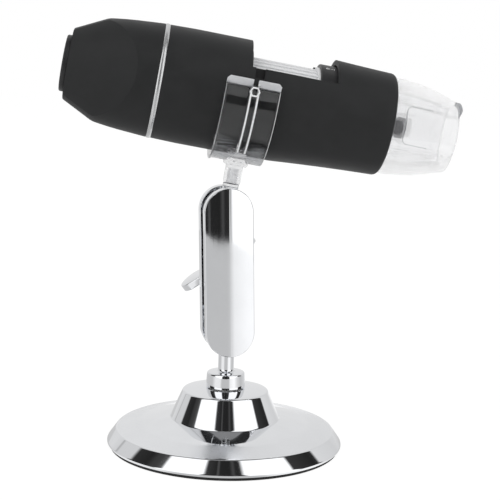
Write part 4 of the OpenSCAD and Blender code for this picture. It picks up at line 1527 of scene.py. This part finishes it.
@dataclass
class Microscope(Assembly):
    """The microscope's fixed outside: both shells, ring, cap, socket, guide tube, recess with its sheet of
    painted shade, and lamps.
    """

    body: str = "scope"
    land_r: float = 16.6
    land_end: float = 35.65
    ring_r: float = 16.4
    ring_bore: float = 14.15
    half_ring: float = 0.65
    front_r: float = 15.0
    front_t: float = 67.55
    front_round: float = 1.3
    taper_bend: float = 0.45
    bore_r: float = 14.2
    front_seat: float = 62.45
    hood_bore_r: float = 11.97
    tube_r: float = 14.1
    rod_room_r: float = 4.65
    window_start: float = 24.55
    window_end: float = 49.65
    sill: float = 7.6
    rear_t: float = 25.9
    rear_r: float = 10.4
    break_t: float = 16.5
    break_r: float = 14.9
    cheek_cut: float = 0.12
    cheek_half_angle: float = 59.0
    cap_r: float = 8.1
    cap_t: float = 1.5
    cap_seat: float = 1.7
    button_t: float = 8.0
    button_r: float = 3.6
    lamp_r: float = 1.5
    lamp_circle_r: float = 7.9
    lamp_count: int = 8

    def build(self) -> None:
        """Makes the fixed outside pieces."""
        self.main_shell()
        self.rear_shell()
        self.ring()
        self.cap()
        self.socket()
        self.window_lip()
        self.pit()
        self.lamps()

    def body_r(self, at: float) -> float:
        """Gives the tapered body's radius.

        Args:
            at: The distance from the ring.

        Returns:
            The radius there.
        """
        share = (at - self.land_end) / (self.front_t - self.land_end)
        fall = (1 + self.taper_bend) * share - self.taper_bend * share * share
        return self.land_r - (self.land_r - self.front_r) * fall

    def main_shell(self) -> None:
        """Turns the main shell and cuts the thumb window and the clip's recess into it."""
        last = self.front_t - self.front_round
        taper = [self.land_end + (last - self.land_end) * i / 16 for i in range(17)]
        profile = [
            (self.bore_r, self.half_ring), *near((self.ring_r, self.half_ring), (-0.15, 0), (0, 0.15)),
            (self.land_r, 8), (self.land_r, self.land_end - 3), *[(self.body_r(t), t) for t in taper],
            *rounded((self.front_r - self.front_round, last), self.front_round, 12, 90, 9),
            *near((self.hood_bore_r, self.front_t), (0.25, 0), (0, -0.25)),
            (self.hood_bore_r, self.front_seat), (self.bore_r, self.front_seat),
        ]
        shape = Bench.lathe("barrel_shell", loop(profile), 224, ALONG_X)
        wide = 2 * self.land_r
        start, sill = self.window_start, self.sill
        Bench.combine(shape, Bench.block("window", (start, -wide, sill), (self.window_end, wide, wide)))
        recess = Bench.block("recess", (start + 1.3, -wide, sill - 3.1), (start + 4.1, 0, sill + 1))
        Bench.combine(recess, Bench.rod(self.bore_r + 0.9, start, self.window_end, 128, ALONG_X))
        Bench.combine(shape, recess)
        Bench.ease(shape, 0.3, 3, 40)
        Bench.move(shape, LAYOUT.scope())
        self.dress(Bench.smooth(shape), Paint.BLACK, "soft_black", "main_shell")

    def cheek(self, side: int) -> Shape:
        """Makes the wide cone that flattens one side of the rear taper.

        Args:
            side: 1 for the far side, -1 for the near side.

        Returns:
            The cone.
        """
        slope = (self.break_r - self.rear_r) / (self.rear_t - self.break_t)
        apex = self.rear_t + self.rear_r / slope
        left = 1 - self.cheek_cut
        shift = (1 - left * left) / (2 * (left - math.cos(math.radians(self.cheek_half_angle))))
        length = apex + self.half_ring + 8
        widening = (left + shift) * slope
        cone = Bench.lathe("cheek", [(widening, 1.0), (widening * length, length)], 720)
        lean = Matrix.Rotation(side * math.atan(shift * slope), 4, "Z")
        return Bench.move(cone, shifted(-apex, 0, 0) @ lean @ ALONG_X)

    def rear_shell(self) -> None:
        """Turns the rear shell, flattens its two cheeks and cuts the cap's and button's holes."""
        rear, bend = -self.rear_t, -self.break_t
        profile = [
            (self.cap_r - 1.1, rear), *rounded((self.rear_r - 0.6, rear + 0.6), 0.6, -90, -25, 6),
            *near((self.break_r, bend), (-0.35, -0.7), (-0.06, 0.1), (0.1, 0.9), (0.34, 2.6), (0.62, 4.8)),
            *near((self.break_r, 0), (0.93, -8.6), (1.2, -5), (1.4, -2.4)),
            *near((self.ring_r, -self.half_ring), (0, -0.15), (-0.15, 0)),
            *near((self.bore_r, 0), (-1.8, -self.half_ring), (-1.8, -10)), (self.break_r - 3.4, bend),
            *near((self.cap_r, rear), (-0.4, self.cap_seat), (-1.1, self.cap_seat)),
        ]
        shape = Bench.lathe("tail_shell", loop(profile), 256, ALONG_X)
        for side in (-1, 1):
            Bench.combine(shape, self.cheek(side), Way.KEEP)
        Bench.combine(shape, Bench.rod(self.button_r, 8, 20, 64, shifted(-self.button_t, 0, 0) @ ALONG_Y))
        Bench.ease(shape, 0.35, 3, 12)
        Bench.move(shape, LAYOUT.scope())
        self.dress(Bench.smooth(shape, 24), Paint.BLACK, "soft_black", "rear_shell")

    def ring(self) -> None:
        """Turns the bright trim ring, slightly crowned."""
        out = self.ring_r + 0.12
        half = self.half_ring
        profile = [
            (self.ring_bore, -half), *near((out, -half), (-0.15, 0), (0, 0.2)), (out + 0.05, 0),
            *near((out, half), (0, -0.2), (-0.15, 0)), (self.ring_bore, half),
        ]
        shape = Bench.lathe("bright_ring", loop(profile), 224, LAYOUT.scope() @ ALONG_X)
        self.dress(Bench.smooth(shape), Paint.SILVER, "silver_plastic", "trim_ring")

    def cap(self) -> None:
        """Turns the rear cap and cuts the socket's mouth into it."""
        rear = -self.rear_t
        back = rear - self.cap_t
        profile = [
            (0.5, back + 0.3), *near((self.cap_r, back), (-2, 0.3), (-1.7, 0)),
            *rounded((self.cap_r - 0.5, back + 0.5), 0.5, -90, 0, 5),
            *near((self.cap_r, rear), (0, 0), (-1.2, 0), (-1.2, self.cap_seat)),
            (0.5, rear + self.cap_seat),
        ]
        shape = Bench.lathe("tail_cap", profile, 128, ALONG_X)
        mouth = Bench.block("mouth", (back - 1, -2.15, -4.0), (rear + 3, 2.15, 4.0))
        Bench.combine(shape, Bench.ease(mouth, 0.5, 3))
        Bench.ease(shape, 0.12, 2, 50)
        Bench.move(shape, LAYOUT.scope())
        self.dress(Bench.smooth(shape), Paint.INNER, "inner_black", "end_cap")

    def socket(self) -> None:
        """Makes the cord socket: a folded metal box with a tongue of contacts."""
        back = -self.rear_t - self.cap_t + 0.5
        half = [(-2, -3.2), (-1.35, -3.85), (1.35, -3.85), (2, -3.2)]
        outline = half + [(-x, -y) for x, y in half]
        shape = Bench.prism("usb_mouth", outline, back, back + 8.5)
        inner = [(x * 0.82, y * 0.9) for x, y in outline]
        Bench.combine(shape, Bench.prism("inner", inner, back - 1, back + 7.3))
        tongue = Bench.block("tongue", (-0.5, -2.2, back + 1), (0.5, 2.2, back + 7.4))
        Bench.combine(shape, Bench.ease(tongue, 0.15, 2), Way.ADD)
        swap = Matrix(((0, 0, 1, 0), (1, 0, 0, 0), (0, 1, 0, 0), (0, 0, 0, 1)))
        Bench.move(shape, LAYOUT.scope() @ swap)
        self.dress(Bench.smooth(shape), Paint.STEEL, "steel", "cord_socket")

    def window_lip(self) -> None:
        """Turns the black guide tube whose lip frames the focus wheel's rear end."""
        start, floor = 8.0, 12.0
        lip = near((self.tube_r, 0), (0, 24.85), (-0.2, 25.2), (-1.8, 25.2))
        profile = [
            (self.rod_room_r, start), (self.tube_r, start), *lip, (self.hood_bore_r, 24.95),
            (self.hood_bore_r, floor), (self.rod_room_r, floor),
        ]
        shape = Bench.lathe("window_lip", loop(profile), 160, LAYOUT.scope() @ ALONG_X)
        self.dress(Bench.smooth(shape), Paint.INNER, "inner_black", "guide_tube")

    def pit(self) -> None:
        """Lays a near-black sheet of painted shade on the floor of the small recess below the window."""
        low = self.window_start + 1.33
        high = self.window_start + 4.07
        inner = self.bore_r + 0.88
        shape = Bench.lathe("recess_shade_sheet", rectangle((inner, low), (inner + 0.12, high)), 192, ALONG_X)
        side = Bench.block("side", (low - 1, -2 * inner, self.sill - 3.06), (high + 1, 0, self.sill - 0.05))
        Bench.combine(shape, side, Way.KEEP)
        Bench.move(shape, LAYOUT.scope())
        # Painted shade: the near-black sheet stands in for the shadow on the recess floor.
        self.dress(Bench.smooth(shape), Paint.RECESS_SHADE, "soft_black")

    def lamps(self) -> None:
        """Makes one domed lamp with a foot and copies it round the lens."""
        base = self.front_seat
        dome = base + 2.6
        foot = near((self.lamp_r, base), (0.22, 0), (0.22, 0.55), (0, 0.6))
        profile = [*foot, (self.lamp_r, dome), *rounded((0, dome), self.lamp_r, 4, 86, 9)]
        first = Bench.lathe("lamp", profile, 40)
        lamps = []
        for i in range(self.lamp_count):
            turn = turned((i + 0.5) * 360 / self.lamp_count, "X")
            lamps.append(Bench.copy(first, turn @ shifted(0, 0, self.lamp_circle_r) @ ALONG_X))
        bpy.data.objects.remove(first, do_unlink=True)
        shape = Bench.move(Bench.join(lamps, "lamp_ring"), LAYOUT.scope())
        self.dress(Bench.smooth(shape), Paint.LAMP, "lamp_white", "lamps")


@dataclass
class Focus(Assembly):
    """The ribbed silver wheel and the black dial collar with its printed scale."""

    body: str = "focus"
    wheel_r: float = 11.9
    rib_count: int = 36
    rib_depth: float = 0.4
    rib_start: float = 25.55
    back: float = 13.0
    core_r: float = 10.5
    dial_r: float = 13.7
    dial_start: float = 45.05
    dial_end: float = 51.45
    journal_r: float = 12.0
    journal_end: float = 57.0
    bore_r: float = 9.0
    mark_count: int = 8
    first_mark: float = 28.0

    def build(self) -> None:
        """Makes the wheel, the dial and its scale."""
        self.wheel()
        self.dial()
        self.scale()

    def wheel(self) -> None:
        """Turns the wheel, then presses in the grooves between its ribs."""
        name = "ribbed_wheel"
        out = self.wheel_r
        inner = self.core_r + 0.1
        end = self.dial_start - 0.7
        profile = [
            (inner, self.back), (out, self.back), (out, self.rib_start),
            *near((out, end), (0, 0), (0.55, 0), (0.7, 0.15)), (out + 0.7, self.dial_start),
            (inner, self.dial_start),
        ]
        shape = Bench.lathe(name, loop(profile), self.rib_count * 4)
        Bench.pick(shape)
        bpy.ops.object.mode_set(mode="EDIT")
        pitch = 2 * math.pi / self.rib_count

        def in_groove(center: Vector, normal: Vector) -> bool:
            """Tells whether a face lies in a groove.

            Args:
                center: The face's centre.
                normal: Its normal.

            Returns:
                Whether it does.
            """
            turn = (math.atan2(center.y, center.x) / pitch) % 1.0
            level = self.rib_start * MM < center.z < end * MM
            outside = abs(center.xy.length - out * MM) < 0.1 * MM and abs(normal.z) < 0.5
            return level and outside and turn < 0.5

        Bench.choose_faces(shape, in_groove)
        bpy.ops.mesh.inset(thickness=0.09 * MM, depth=-self.rib_depth * MM)
        Bench.close_edit(shape, name)
        Bench.move(shape, LAYOUT.scope() @ ALONG_X)
        self.dress(Bench.smooth(shape, 28), Paint.WHEEL, "silver_plastic", "focus_wheel")

    def dial(self) -> None:
        """Turns the core with its collar, and adds the small lug at the collar's rear edge."""
        out = self.dial_r
        start = self.dial_start
        profile = [
            (self.bore_r, self.back), (self.core_r, self.back), (self.core_r, start),
            *near((out, start), (-0.4, 0), (-0.1, 0.12), (0, 0.4)),
            *near((out, self.dial_end), (0, -0.2), (-0.2, 0)), (self.journal_r, self.dial_end),
            (self.journal_r, self.journal_end), (self.bore_r, self.journal_end),
        ]
        shape = Bench.lathe("dial_collar", loop(profile), 192, ALONG_X)
        lug = Bench.block("lug", (start - 0.9, -0.9, out - 1.1), (start + 0.5, 0.9, out - 0.15))
        Bench.ease(lug, 0.2, 2)
        Bench.combine(shape, Bench.move(lug, turned(-20, "X")), Way.ADD)
        Bench.move(shape, LAYOUT.scope())
        self.dress(Bench.smooth(shape), Paint.INNER, "inner_black", "focus_core")

    def scale(self) -> None:
        """Lays eight plain marks round the collar, each a nought, a dash and a stroke."""
        marks = []
        low = self.dial_r - 0.05
        high = self.dial_r + 0.03
        at = self.dial_start + 1.9
        for i in range(self.mark_count):
            ring = Bench.prism("nought", rounded((at, 0.0), 0.5, 0, 337.5, 15), low, high)
            hollow = Bench.prism("hollow", rounded((at, 0.0), 0.3, 0, 337.5, 15), low - 1, high + 1)
            mark = [
                Bench.combine(ring, hollow),
                Bench.block("dash", (at + 0.75, -0.1, low), (at + 1.5, 0.1, high)),
                Bench.block("stroke", (at + 1.75, -0.5, low), (at + 1.95, 0.5, high)),
            ]
            turn = turned(self.first_mark + 360 / self.mark_count * i, "X")
            marks += [Bench.move(piece, turn) for piece in mark]
        shape = Bench.move(Bench.join(marks, "dial_scale"), LAYOUT.scope())
        self.dress(shape, Paint.PRINT, "lamp_white")


@dataclass
class Lens(Assembly):
    """The threaded metal lens barrel and its front glass."""

    body: str = "carriage"
    barrel_r: float = 3.1
    wall: float = 1.0
    pitch: float = 0.5
    back: float = 52.0
    front: float = 73.5
    glass_r: float = 3.3

    def build(self) -> None:
        """Makes the barrel and the glass."""
        out = self.barrel_r
        inner = out - self.wall
        front = self.front
        place = LAYOUT.scope() @ ALONG_X
        thread, end = ridges(out, 0.2, self.pitch, self.back + 2, front - 3)
        profile = [
            (inner, self.back), (out, self.back), *thread, (out - 0.25, end),
            *near((out, front), (-0.25, -2.5), (0, -2.3), (0, -1.2)),
            *rounded((out - 0.9, front - 0.9), 0.9, 0, 80, 6),
            *near((inner, front), (0.1, -0.1), (0, -0.4)),
        ]
        shape = Bench.lathe("threaded_barrel", loop(profile), 96, place)
        self.dress(Bench.smooth(shape, 25), Paint.LENS_METAL, "steel", "lens_barrel")
        profile = [(inner - 0.03, front - 2.2), *rounded((0, front - 4.3), self.glass_r, 38, 86, 10)]
        shape = Bench.lathe("lens_glass", profile, 64, place)
        self.dress(Bench.smooth(shape), Paint.LENS, "lens_glass", "front_lens")


@dataclass
class Button(Assembly):
    """The snapshot button on the far side."""

    body: str = "button"
    button_t: float = 8.0
    radius: float = 3.5
    face: float = 16.6
    stem_r: float = 1.3
    stem_foot: float = 5.0
    flange_low: float = 9.8
    flange_high: float = 11.0

    def build(self) -> None:
        """Turns the button, slightly dished on top."""
        profile = [
            (self.stem_r, self.stem_foot), (self.stem_r, self.flange_low),
            (self.radius + 1, self.flange_low), (self.radius + 1, self.flange_high),
            (self.radius, self.flange_high),
            *rounded((self.radius - 0.4, self.face - 0.4), 0.4, 0, 80, 5),
            *near((self.radius, self.face), (-1.2, -0.05), (-2.2, -0.2)), (0.4, self.face - 0.28),
        ]
        seat = shifted(-self.button_t, 0, 0)
        shape = Bench.lathe("round_button", profile, 96, LAYOUT.scope() @ seat @ ALONG_Y)
        self.dress(Bench.smooth(shape), Paint.BUTTON, "button_grey", "snap_button")


@dataclass
class Hood(Assembly):
    """The clear hood with its spigot, flange, finger flats and front tab."""

    body: str = "hood"
    front_t: float = 67.55
    length: float = 19.5
    flange_r: float = 14.2
    flange_w: float = 2.5
    front_r: float = 10.6
    spigot_r: float = 11.9
    spigot_back: float = 62.85
    wall: float = 2.0
    mouth_r: float = 8.3
    flat_back: float = 0.8
    flat_depth: float = 1.3
    flat_half: float = 5.5
    flat_round: float = 1.6
    refraction_line_w: float = 0.15
    tab_half: float = 4.2
    tab_slant: float = 2.2
    tab_turn: float = 30.0

    def build(self) -> None:
        """Turns the hood, presses in its finger flats and adds the tab and the thin grey lines of painted
        refraction round the flats.
        """
        start = self.front_t + self.flange_w
        end = self.front_t + self.length
        inner = self.spigot_r - self.wall
        rim = self.flange_r - 0.3
        profile = [
            (inner, self.spigot_back), (self.spigot_r, self.spigot_back), (self.spigot_r, self.front_t),
            (rim, self.front_t), *rounded((rim, self.front_t + 0.3), 0.3, -80, 0, 3),
            *near((self.flange_r, start), (0, -0.3), (-0.3, -0.1), (-0.3, 0.1), (0, 0.3), (-1.1, 8.2)),
            (self.front_r + 0.05, end - 0.6), *rounded((self.front_r - 0.5, end - 0.5), 0.5, 10, 90, 5),
            *near((self.mouth_r, end), (0.6, 0), (0, -0.6), (0, -4)),
            (self.front_r - self.wall + 0.7, end - 4.6), (inner + 0.2, start - 1),
            (inner, self.front_t - 1),
        ]
        shape = Bench.lathe("clear_cone", loop(profile), 224, ALONG_X)
        lean = math.atan((self.flange_r - self.front_r) / (end - start))
        for side in (-1, 1):
            seat = self.flat_seat(start, lean, 0)
            Bench.combine(shape, Bench.move(self.flat_tool(), turned(side * 90, "X") @ seat))
        Bench.ease(shape, 0.15, 3, 40)
        Bench.move(shape, LAYOUT.scope())
        self.dress(Bench.smooth(shape, 30), Paint.THIN, "clear_plastic", "clear_hood")
        tab = Bench.move(self.tab(end), LAYOUT.scope())
        self.dress(Bench.smooth(tab, 35), Paint.TAB, "clear_plastic")
        self.lines(start, lean)

    def flat_seat(self, start: float, lean: float, lift: float) -> Matrix:
        """Returns the place of a finger flat, above the hood, raised by a lift."""
        return shifted(start + self.flat_back, 0, self.flange_r + lift) @ Matrix.Rotation(lean, 4, "Y")

    def flat_end(self, line: float, steps: int) -> list[Point]:
        """Gives the round rear end of a finger flat.

        Args:
            line: How far inside the flat's edge the points lie.
            steps: How many pieces each rounding has.

        Returns:
            The points in order.
        """
        at = self.flat_round
        across = self.flat_half - at
        radius = at - line
        return rounded((at, across), radius, 90, 180, steps) + rounded((at, -across), radius, 180, 270, steps)

    def lines(self, start: float, lean: float) -> None:
        """Lays the thin grey line of painted refraction that outlines each finger flat, where its fillet
        bends the light.

        Args:
            start: Where the hood's cone starts.
            lean: How much the flats lean.
        """
        half = self.flat_half
        inner_half = half - self.refraction_line_w
        lines = []
        for side in (-1, 1):
            line = Bench.prism("line", self.flat_end(0, 8) + [(8.0, -half), (8.0, half)], -0.1, 0.0)
            inner = self.flat_end(self.refraction_line_w, 8) + [(9.0, -inner_half), (9.0, inner_half)]
            Bench.combine(line, Bench.prism("inner", inner, -1, 1))
            seat = self.flat_seat(start, lean, 0.03) @ shifted(0, 0, -self.flat_depth)
            lines.append(Bench.move(line, turned(side * 90, "X") @ seat))
        # Painted refraction: grey lines where the flats' fillets bend the light.
        shape = Bench.move(Bench.join(lines, "hood_refraction_lines"), LAYOUT.scope())
        self.dress(shape, Paint.REFRACTION_LINE, "clear_plastic")

    def tab(self, end: float) -> Shape:
        """Makes the curved tab on the front rim, with its lower end slanted.

        Args:
            end: Where the hood ends.

        Returns:
            The tab.
        """
        outer = self.front_r - 0.2
        inner = outer - 1.2
        low = end - 0.15
        high = end + 1.0
        half = self.tab_half
        tab = Bench.lathe("tab", rectangle((inner, low), (outer, high)), 160, ALONG_X)
        slant = self.tab_slant - half
        side = [(low - 1, -half), (end, -half), (high, slant), (high + 1, slant), (high + 1, half)]
        side.append((low - 1, half))
        slab = Bench.prism("slab", side, 0, 2 * outer)
        Bench.combine(tab, Bench.move(slab, turned(self.tab_turn, "X")), Way.KEEP)
        return Bench.ease(tab, 0.15, 2)

    def flat_tool(self) -> Shape:
        """Makes the tool that presses one finger flat: round rear corners and a rising front end."""
        half = self.flat_half
        depth = self.flat_depth
        tool = Bench.prism("flat", self.flat_end(0, 6) + [(13.0, -half), (13.0, half)], -4, 4)
        side = [(-1.0, -depth), (8.0, -depth), (13.0, 0.1), (14.0, 0.1), (14.0, 2.0), (-1.0, 2.0)]
        ramp = Bench.move(Bench.prism("ramp", side, -3 * half, 3 * half), UPRIGHT)
        return Bench.combine(tool, ramp, Way.KEEP)


class CarriedNodes:
    """The frame's own nodes that keep their shape and get a better finish."""

    FINISHES: dict[str, Finish] = {
        "base_weight": Paint.IRON,
        "stud_washer": Paint.STEEL,
        "stud_nut": Paint.STEEL,
        "front_bush": Paint.INNER,
        "guide_rods": Paint.STEEL,
        "camera_board": Paint.BOARD,
        "image_sensor": Paint.CHIP,
        "main_board": Paint.BOARD,
        "controller_chip": Paint.CHIP,
        "button_switch": Paint.CHIP,
        "sensor_cable": Paint.FILM,
        "lamp_cable": Paint.FILM,
        "board_screws": Paint.STEEL,
        "lamp_board": Paint.WHITE_BOARD,
        "lens_carriage": Paint.INNER,
        "cam_pin": Paint.STEEL,
        "switch_plunger": Paint.BUTTON,
    }

    def dress(self, nodes: dict[str, Shape]) -> None:
        """Gives each carried node its finish.

        Args:
            nodes: The frame's nodes by name.
        """
        for name, finish in self.FINISHES.items():
            for slot in nodes[name].material_slots:
                slot.material = finish.material()
            LOG.info("%s keeps its shape in %s", name, finish.name)


@dataclass(frozen=True)
class Surroundings:
    """What bright metal mirrors: white panels with dark gaps between them, pale walls and a pale table.

    Each list gives directions in degrees from the camera's side, positive to the right, with a level.
    """

    heading: float = 11.5
    peak: float = 1.25
    ceiling: float = 0.26
    ceiling_from: float = 61.0
    ceiling_full: float = 68.0
    table_front: float = 0.407
    table_r: float = 0.44
    table_edge: float = 0.006
    room: tuple[Point, ...] = (
        (-180, 0.81), (-160, 0.8), (-150, 0.74), (-138, 0.76), (-127.5, 0.7), (-126, 0.3), (-124.5, 0.68),
        (-105, 0.67), (-102, 0.03), (-86, 0.02), (-80, 0.045), (-75, 0.05), (-68.5, 0.1), (-66, 1.25),
        (-22.5, 1.25), (-19, 0.04), (-7, 0.02), (-5, 0.1), (-3, 0.02), (9, 0.018), (13, 0.07), (16, 0.02),
        (21.5, 0.03), (26, 1.25), (77, 1.25), (80, 0.04), (104, 0.02), (108.5, 0.03), (111, 0.76),
        (140, 0.69), (150, 0.72), (180, 0.81),
    )
    table: tuple[Point, ...] = (
        (-180, 1.0), (-168, 0.95), (-160, 0.64), (-112, 0.6), (-83, 0.6), (-72, 0.75), (-60, 0.93),
        (-40, 0.92), (-30, 0.9), (-24, 0.66), (-19, 0.57), (17, 0.57), (20, 0.61), (22, 0.7), (24, 0.82),
        (27, 0.96), (35, 1.02), (44, 1.09), (52, 1.12), (60, 0.96), (72, 0.75), (96, 0.57), (112, 0.62),
        (127, 0.69), (145, 0.72), (156, 1.0), (180, 1.0),
    )

    def place(self, formula: Formula, across: Socket, along: Socket) -> Socket:
        """Adds the nodes that turn a level direction into a place along the lists.

        Args:
            formula: Where the nodes go.
            across: The direction's first part.
            along: Its second part.

        Returns:
            The place, from 0 to 1.
        """
        turn = formula.do("ARCTAN2", across, formula.do("MULTIPLY", along, -1.0))
        turn = formula.do("WRAP", formula.do("ADD", turn, math.radians(self.heading)), math.pi, -math.pi)
        return formula.do("MULTIPLY_ADD", turn, 1 / math.tau, 0.5)

    def read(self, formula: Formula, place: Socket, pairs: Sequence[Point]) -> Socket:
        """Reads a list at a place, as a share of the peak."""
        return formula.levels(place, [((turn + 180) / 360, level / self.peak) for turn, level in pairs])

    def around(self, tree: Tree) -> Socket:
        """Adds the level of the room in every direction.

        Args:
            tree: The world's node tree.

        Returns:
            The level.
        """
        formula = Formula(tree)
        across, along, up = formula.parts("Generated")
        room = self.read(formula, self.place(formula, across, along), self.room)
        rise = formula.do("ARCSINE", up)
        share = formula.step(rise, math.radians(self.ceiling_from), math.radians(self.ceiling_full))
        return formula.do("MULTIPLY", formula.mix(share, room, self.ceiling / self.peak), self.peak)

    def below(self, tree: Tree) -> Socket:
        """Adds the level of the table and of what lies past its edge.

        Args:
            tree: The floor's node tree.

        Returns:
            The level.
        """
        formula = Formula(tree)
        across, along, _ = formula.parts("Object")
        place = self.place(formula, across, along)
        turn = math.radians(self.heading)
        to_camera = formula.do("ADD", formula.do("MULTIPLY", across, -math.sin(turn)),
                               formula.do("MULTIPLY", along, -math.cos(turn)))
        beyond = formula.do("ADD", formula.length(across, along), self.table_front - self.table_r)
        reach = formula.do("MAXIMUM", to_camera, beyond)
        share = formula.step(reach, self.table_front - self.table_edge, self.table_front + self.table_edge)
        table = self.read(formula, place, self.table)
        room = self.read(formula, place, self.room)
        return formula.do("MULTIPLY", formula.mix(share, table, room), self.peak)


@dataclass
class Studio:
    """The pale floor, the soft light, what the chrome mirrors, and the camera."""

    camera_place: tuple[float, float, float] = (-0.06817, -0.36575, 0.1154)
    heading: float = 11.5
    pitch: float = 8.575
    roll: float = 1.7
    focal_px: float = 1278.0
    frame_px: float = 500.0
    sensor_mm: float = 36.0
    world_light: float = 0.55
    floor_size: float = 6.0
    floor_glow: float = 0.87
    floor_level: float = 1.07
    lamp_aim: tuple[float, float, float] = (0, 0, 0.06)

    def build(self) -> None:
        """Sets up everything round the object."""
        self.camera()
        self.world()
        self.floor()
        self.lights()

    def camera(self) -> None:
        """Places the camera as the photograph's."""
        heading, pitch, roll = (math.radians(v) for v in (self.heading, self.pitch, self.roll))
        reach = math.cos(pitch)
        ahead = Vector((math.sin(heading) * reach, math.cos(heading) * reach, -math.sin(pitch)))
        level = Vector((math.cos(heading), -math.sin(heading), 0))
        above = level.cross(ahead)
        right = level * math.cos(roll) + above * math.sin(roll)
        up = above * math.cos(roll) - level * math.sin(roll)
        lens = bpy.data.cameras.new("camera")
        lens.sensor_width = self.sensor_mm
        lens.lens = self.sensor_mm * self.focal_px / self.frame_px
        lens.clip_start = 0.01
        lens.clip_end = 20
        camera = bpy.data.objects.new("camera", lens)
        bpy.context.collection.objects.link(camera)
        pose = Matrix((right, up, -ahead)).transposed().to_4x4()
        camera.matrix_world = Matrix.Translation(self.camera_place) @ pose
        bpy.context.scene.camera = camera

    def seen_rays(self, tree: Tree) -> Socket:
        """Adds a socket that is 1 for camera, mirror and see-through rays and 0 for the rest.

        Args:
            tree: Where the nodes go.

        Returns:
            The socket.
        """
        formula = Formula(tree)
        rays = tree.nodes.new("ShaderNodeLightPath").outputs
        direct = formula.do("MAXIMUM", rays["Is Camera Ray"], rays["Is Glossy Ray"])
        return formula.do("MAXIMUM", direct, rays["Is Transmission Ray"])

    def mirror_rays(self, tree: Tree) -> Socket:
        """Adds a socket that is 1 for mirror rays."""
        return tree.nodes.new("ShaderNodeLightPath").outputs["Is Glossy Ray"]

    def blend(self, tree: Tree, share: Socket, first: Socket, second: Socket, target: Socket) -> None:
        """Mixes two shaders.

        Args:
            tree: Where the node goes.
            share: How much of the second shows.
            first: The first shader.
            second: The second shader.
            target: Where the mixture goes.
        """
        mix = tree.nodes.new("ShaderNodeMixShader")
        for source, socket in zip((share, first, second), mix.inputs):
            tree.links.new(source, socket)
        tree.links.new(mix.outputs[0], target)

    def world(self) -> None:
        """Makes a world that is white where it is seen and a plain grey light elsewhere."""
        world = bpy.data.worlds.new("studio")
        bpy.context.scene.world = world
        world.use_nodes = True
        tree = world.node_tree
        tree.nodes.clear()
        output = tree.nodes.new("ShaderNodeOutputWorld")
        light, seen = (tree.nodes.new("ShaderNodeBackground") for _ in range(2))
        for node in (light, seen):
            node.inputs["Color"].default_value = (1, 1, 1, 1)
        light.inputs["Strength"].default_value = self.world_light
        level = Formula(tree).mix(self.mirror_rays(tree), 1.0, Surroundings(self.heading).around(tree))
        tree.links.new(level, seen.inputs["Strength"])
        self.blend(tree, self.seen_rays(tree), light.outputs[0], seen.outputs[0], output.inputs["Surface"])

    def floor(self) -> None:
        """Lays the pale floor, which keeps a faint shadow."""
        Bench.clear()
        bpy.ops.mesh.primitive_plane_add(size=self.floor_size)
        floor = bpy.context.object
        floor.name = "floor"
        sheet = NodeSheet("pale floor")
        sheet.set(Base_Color=(0.9, 0.9, 0.9, 1), Roughness=0.6, Specular_IOR_Level=0.1)
        formula = Formula(sheet.tree)
        glow = sheet.add("ShaderNodeEmission", Color=(1, 1, 1, 1))
        mirror = self.mirror_rays(sheet.tree)
        level = formula.mix(mirror, self.floor_level, Surroundings(self.heading).below(sheet.tree))
        sheet.link(level, glow.inputs["Strength"])
        share = formula.do("MULTIPLY", self.seen_rays(sheet.tree), self.floor_glow)
        share = formula.do("MAXIMUM", share, mirror)
        surface = sheet.output.inputs["Surface"]
        self.blend(sheet.tree, share, sheet.shader.outputs[0], glow.outputs[0], surface)
        floor.data.materials.append(sheet.material)

    def lights(self) -> None:
        """Hangs two large soft lamps and a weak one in front."""
        for name, place, size, power in (
            ("left_lamp", (-0.9, -0.5, 1.1), 0.9, 7.0),
            ("right_lamp", (0.95, -0.35, 1.0), 0.8, 5.0),
            ("front_lamp", (-0.2, -1.3, 0.5), 0.8, 3.0),
        ):
            light = bpy.data.lights.new(name, "AREA")
            light.size = size
            light.energy = power
            lamp = bpy.data.objects.new(name, light)
            lamp.location = place
            aim = Vector(self.lamp_aim) - Vector(place)
            lamp.rotation_mode = "QUATERNION"
            lamp.rotation_quaternion = aim.to_track_quat("-Z", "Y")
            lamp.visible_glossy = False
            bpy.context.collection.objects.link(lamp)


def corners(box: tuple[Vector, Vector]) -> list[list[float]]:
    """Returns a box's two corners as plain lists of numbers."""
    return [[float(v) for v in corner] for corner in box]


def main() -> None:
    """Loads the frame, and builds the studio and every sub-assembly."""
    logging.basicConfig(level=logging.INFO, format="%(message)s", stream=sys.stdout)
    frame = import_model()
    Bench.clear()
    bpy.context.scene.view_settings.view_transform = "Standard"
    Studio().build()
    for part in (StandBase(), Stud(), Arm(), Holder(), Microscope(), Focus(), Lens(), Button(), Hood()):
        part.build()
    CarriedNodes().dress(frame["nodes"])


if __name__ == "__main__":
    main()
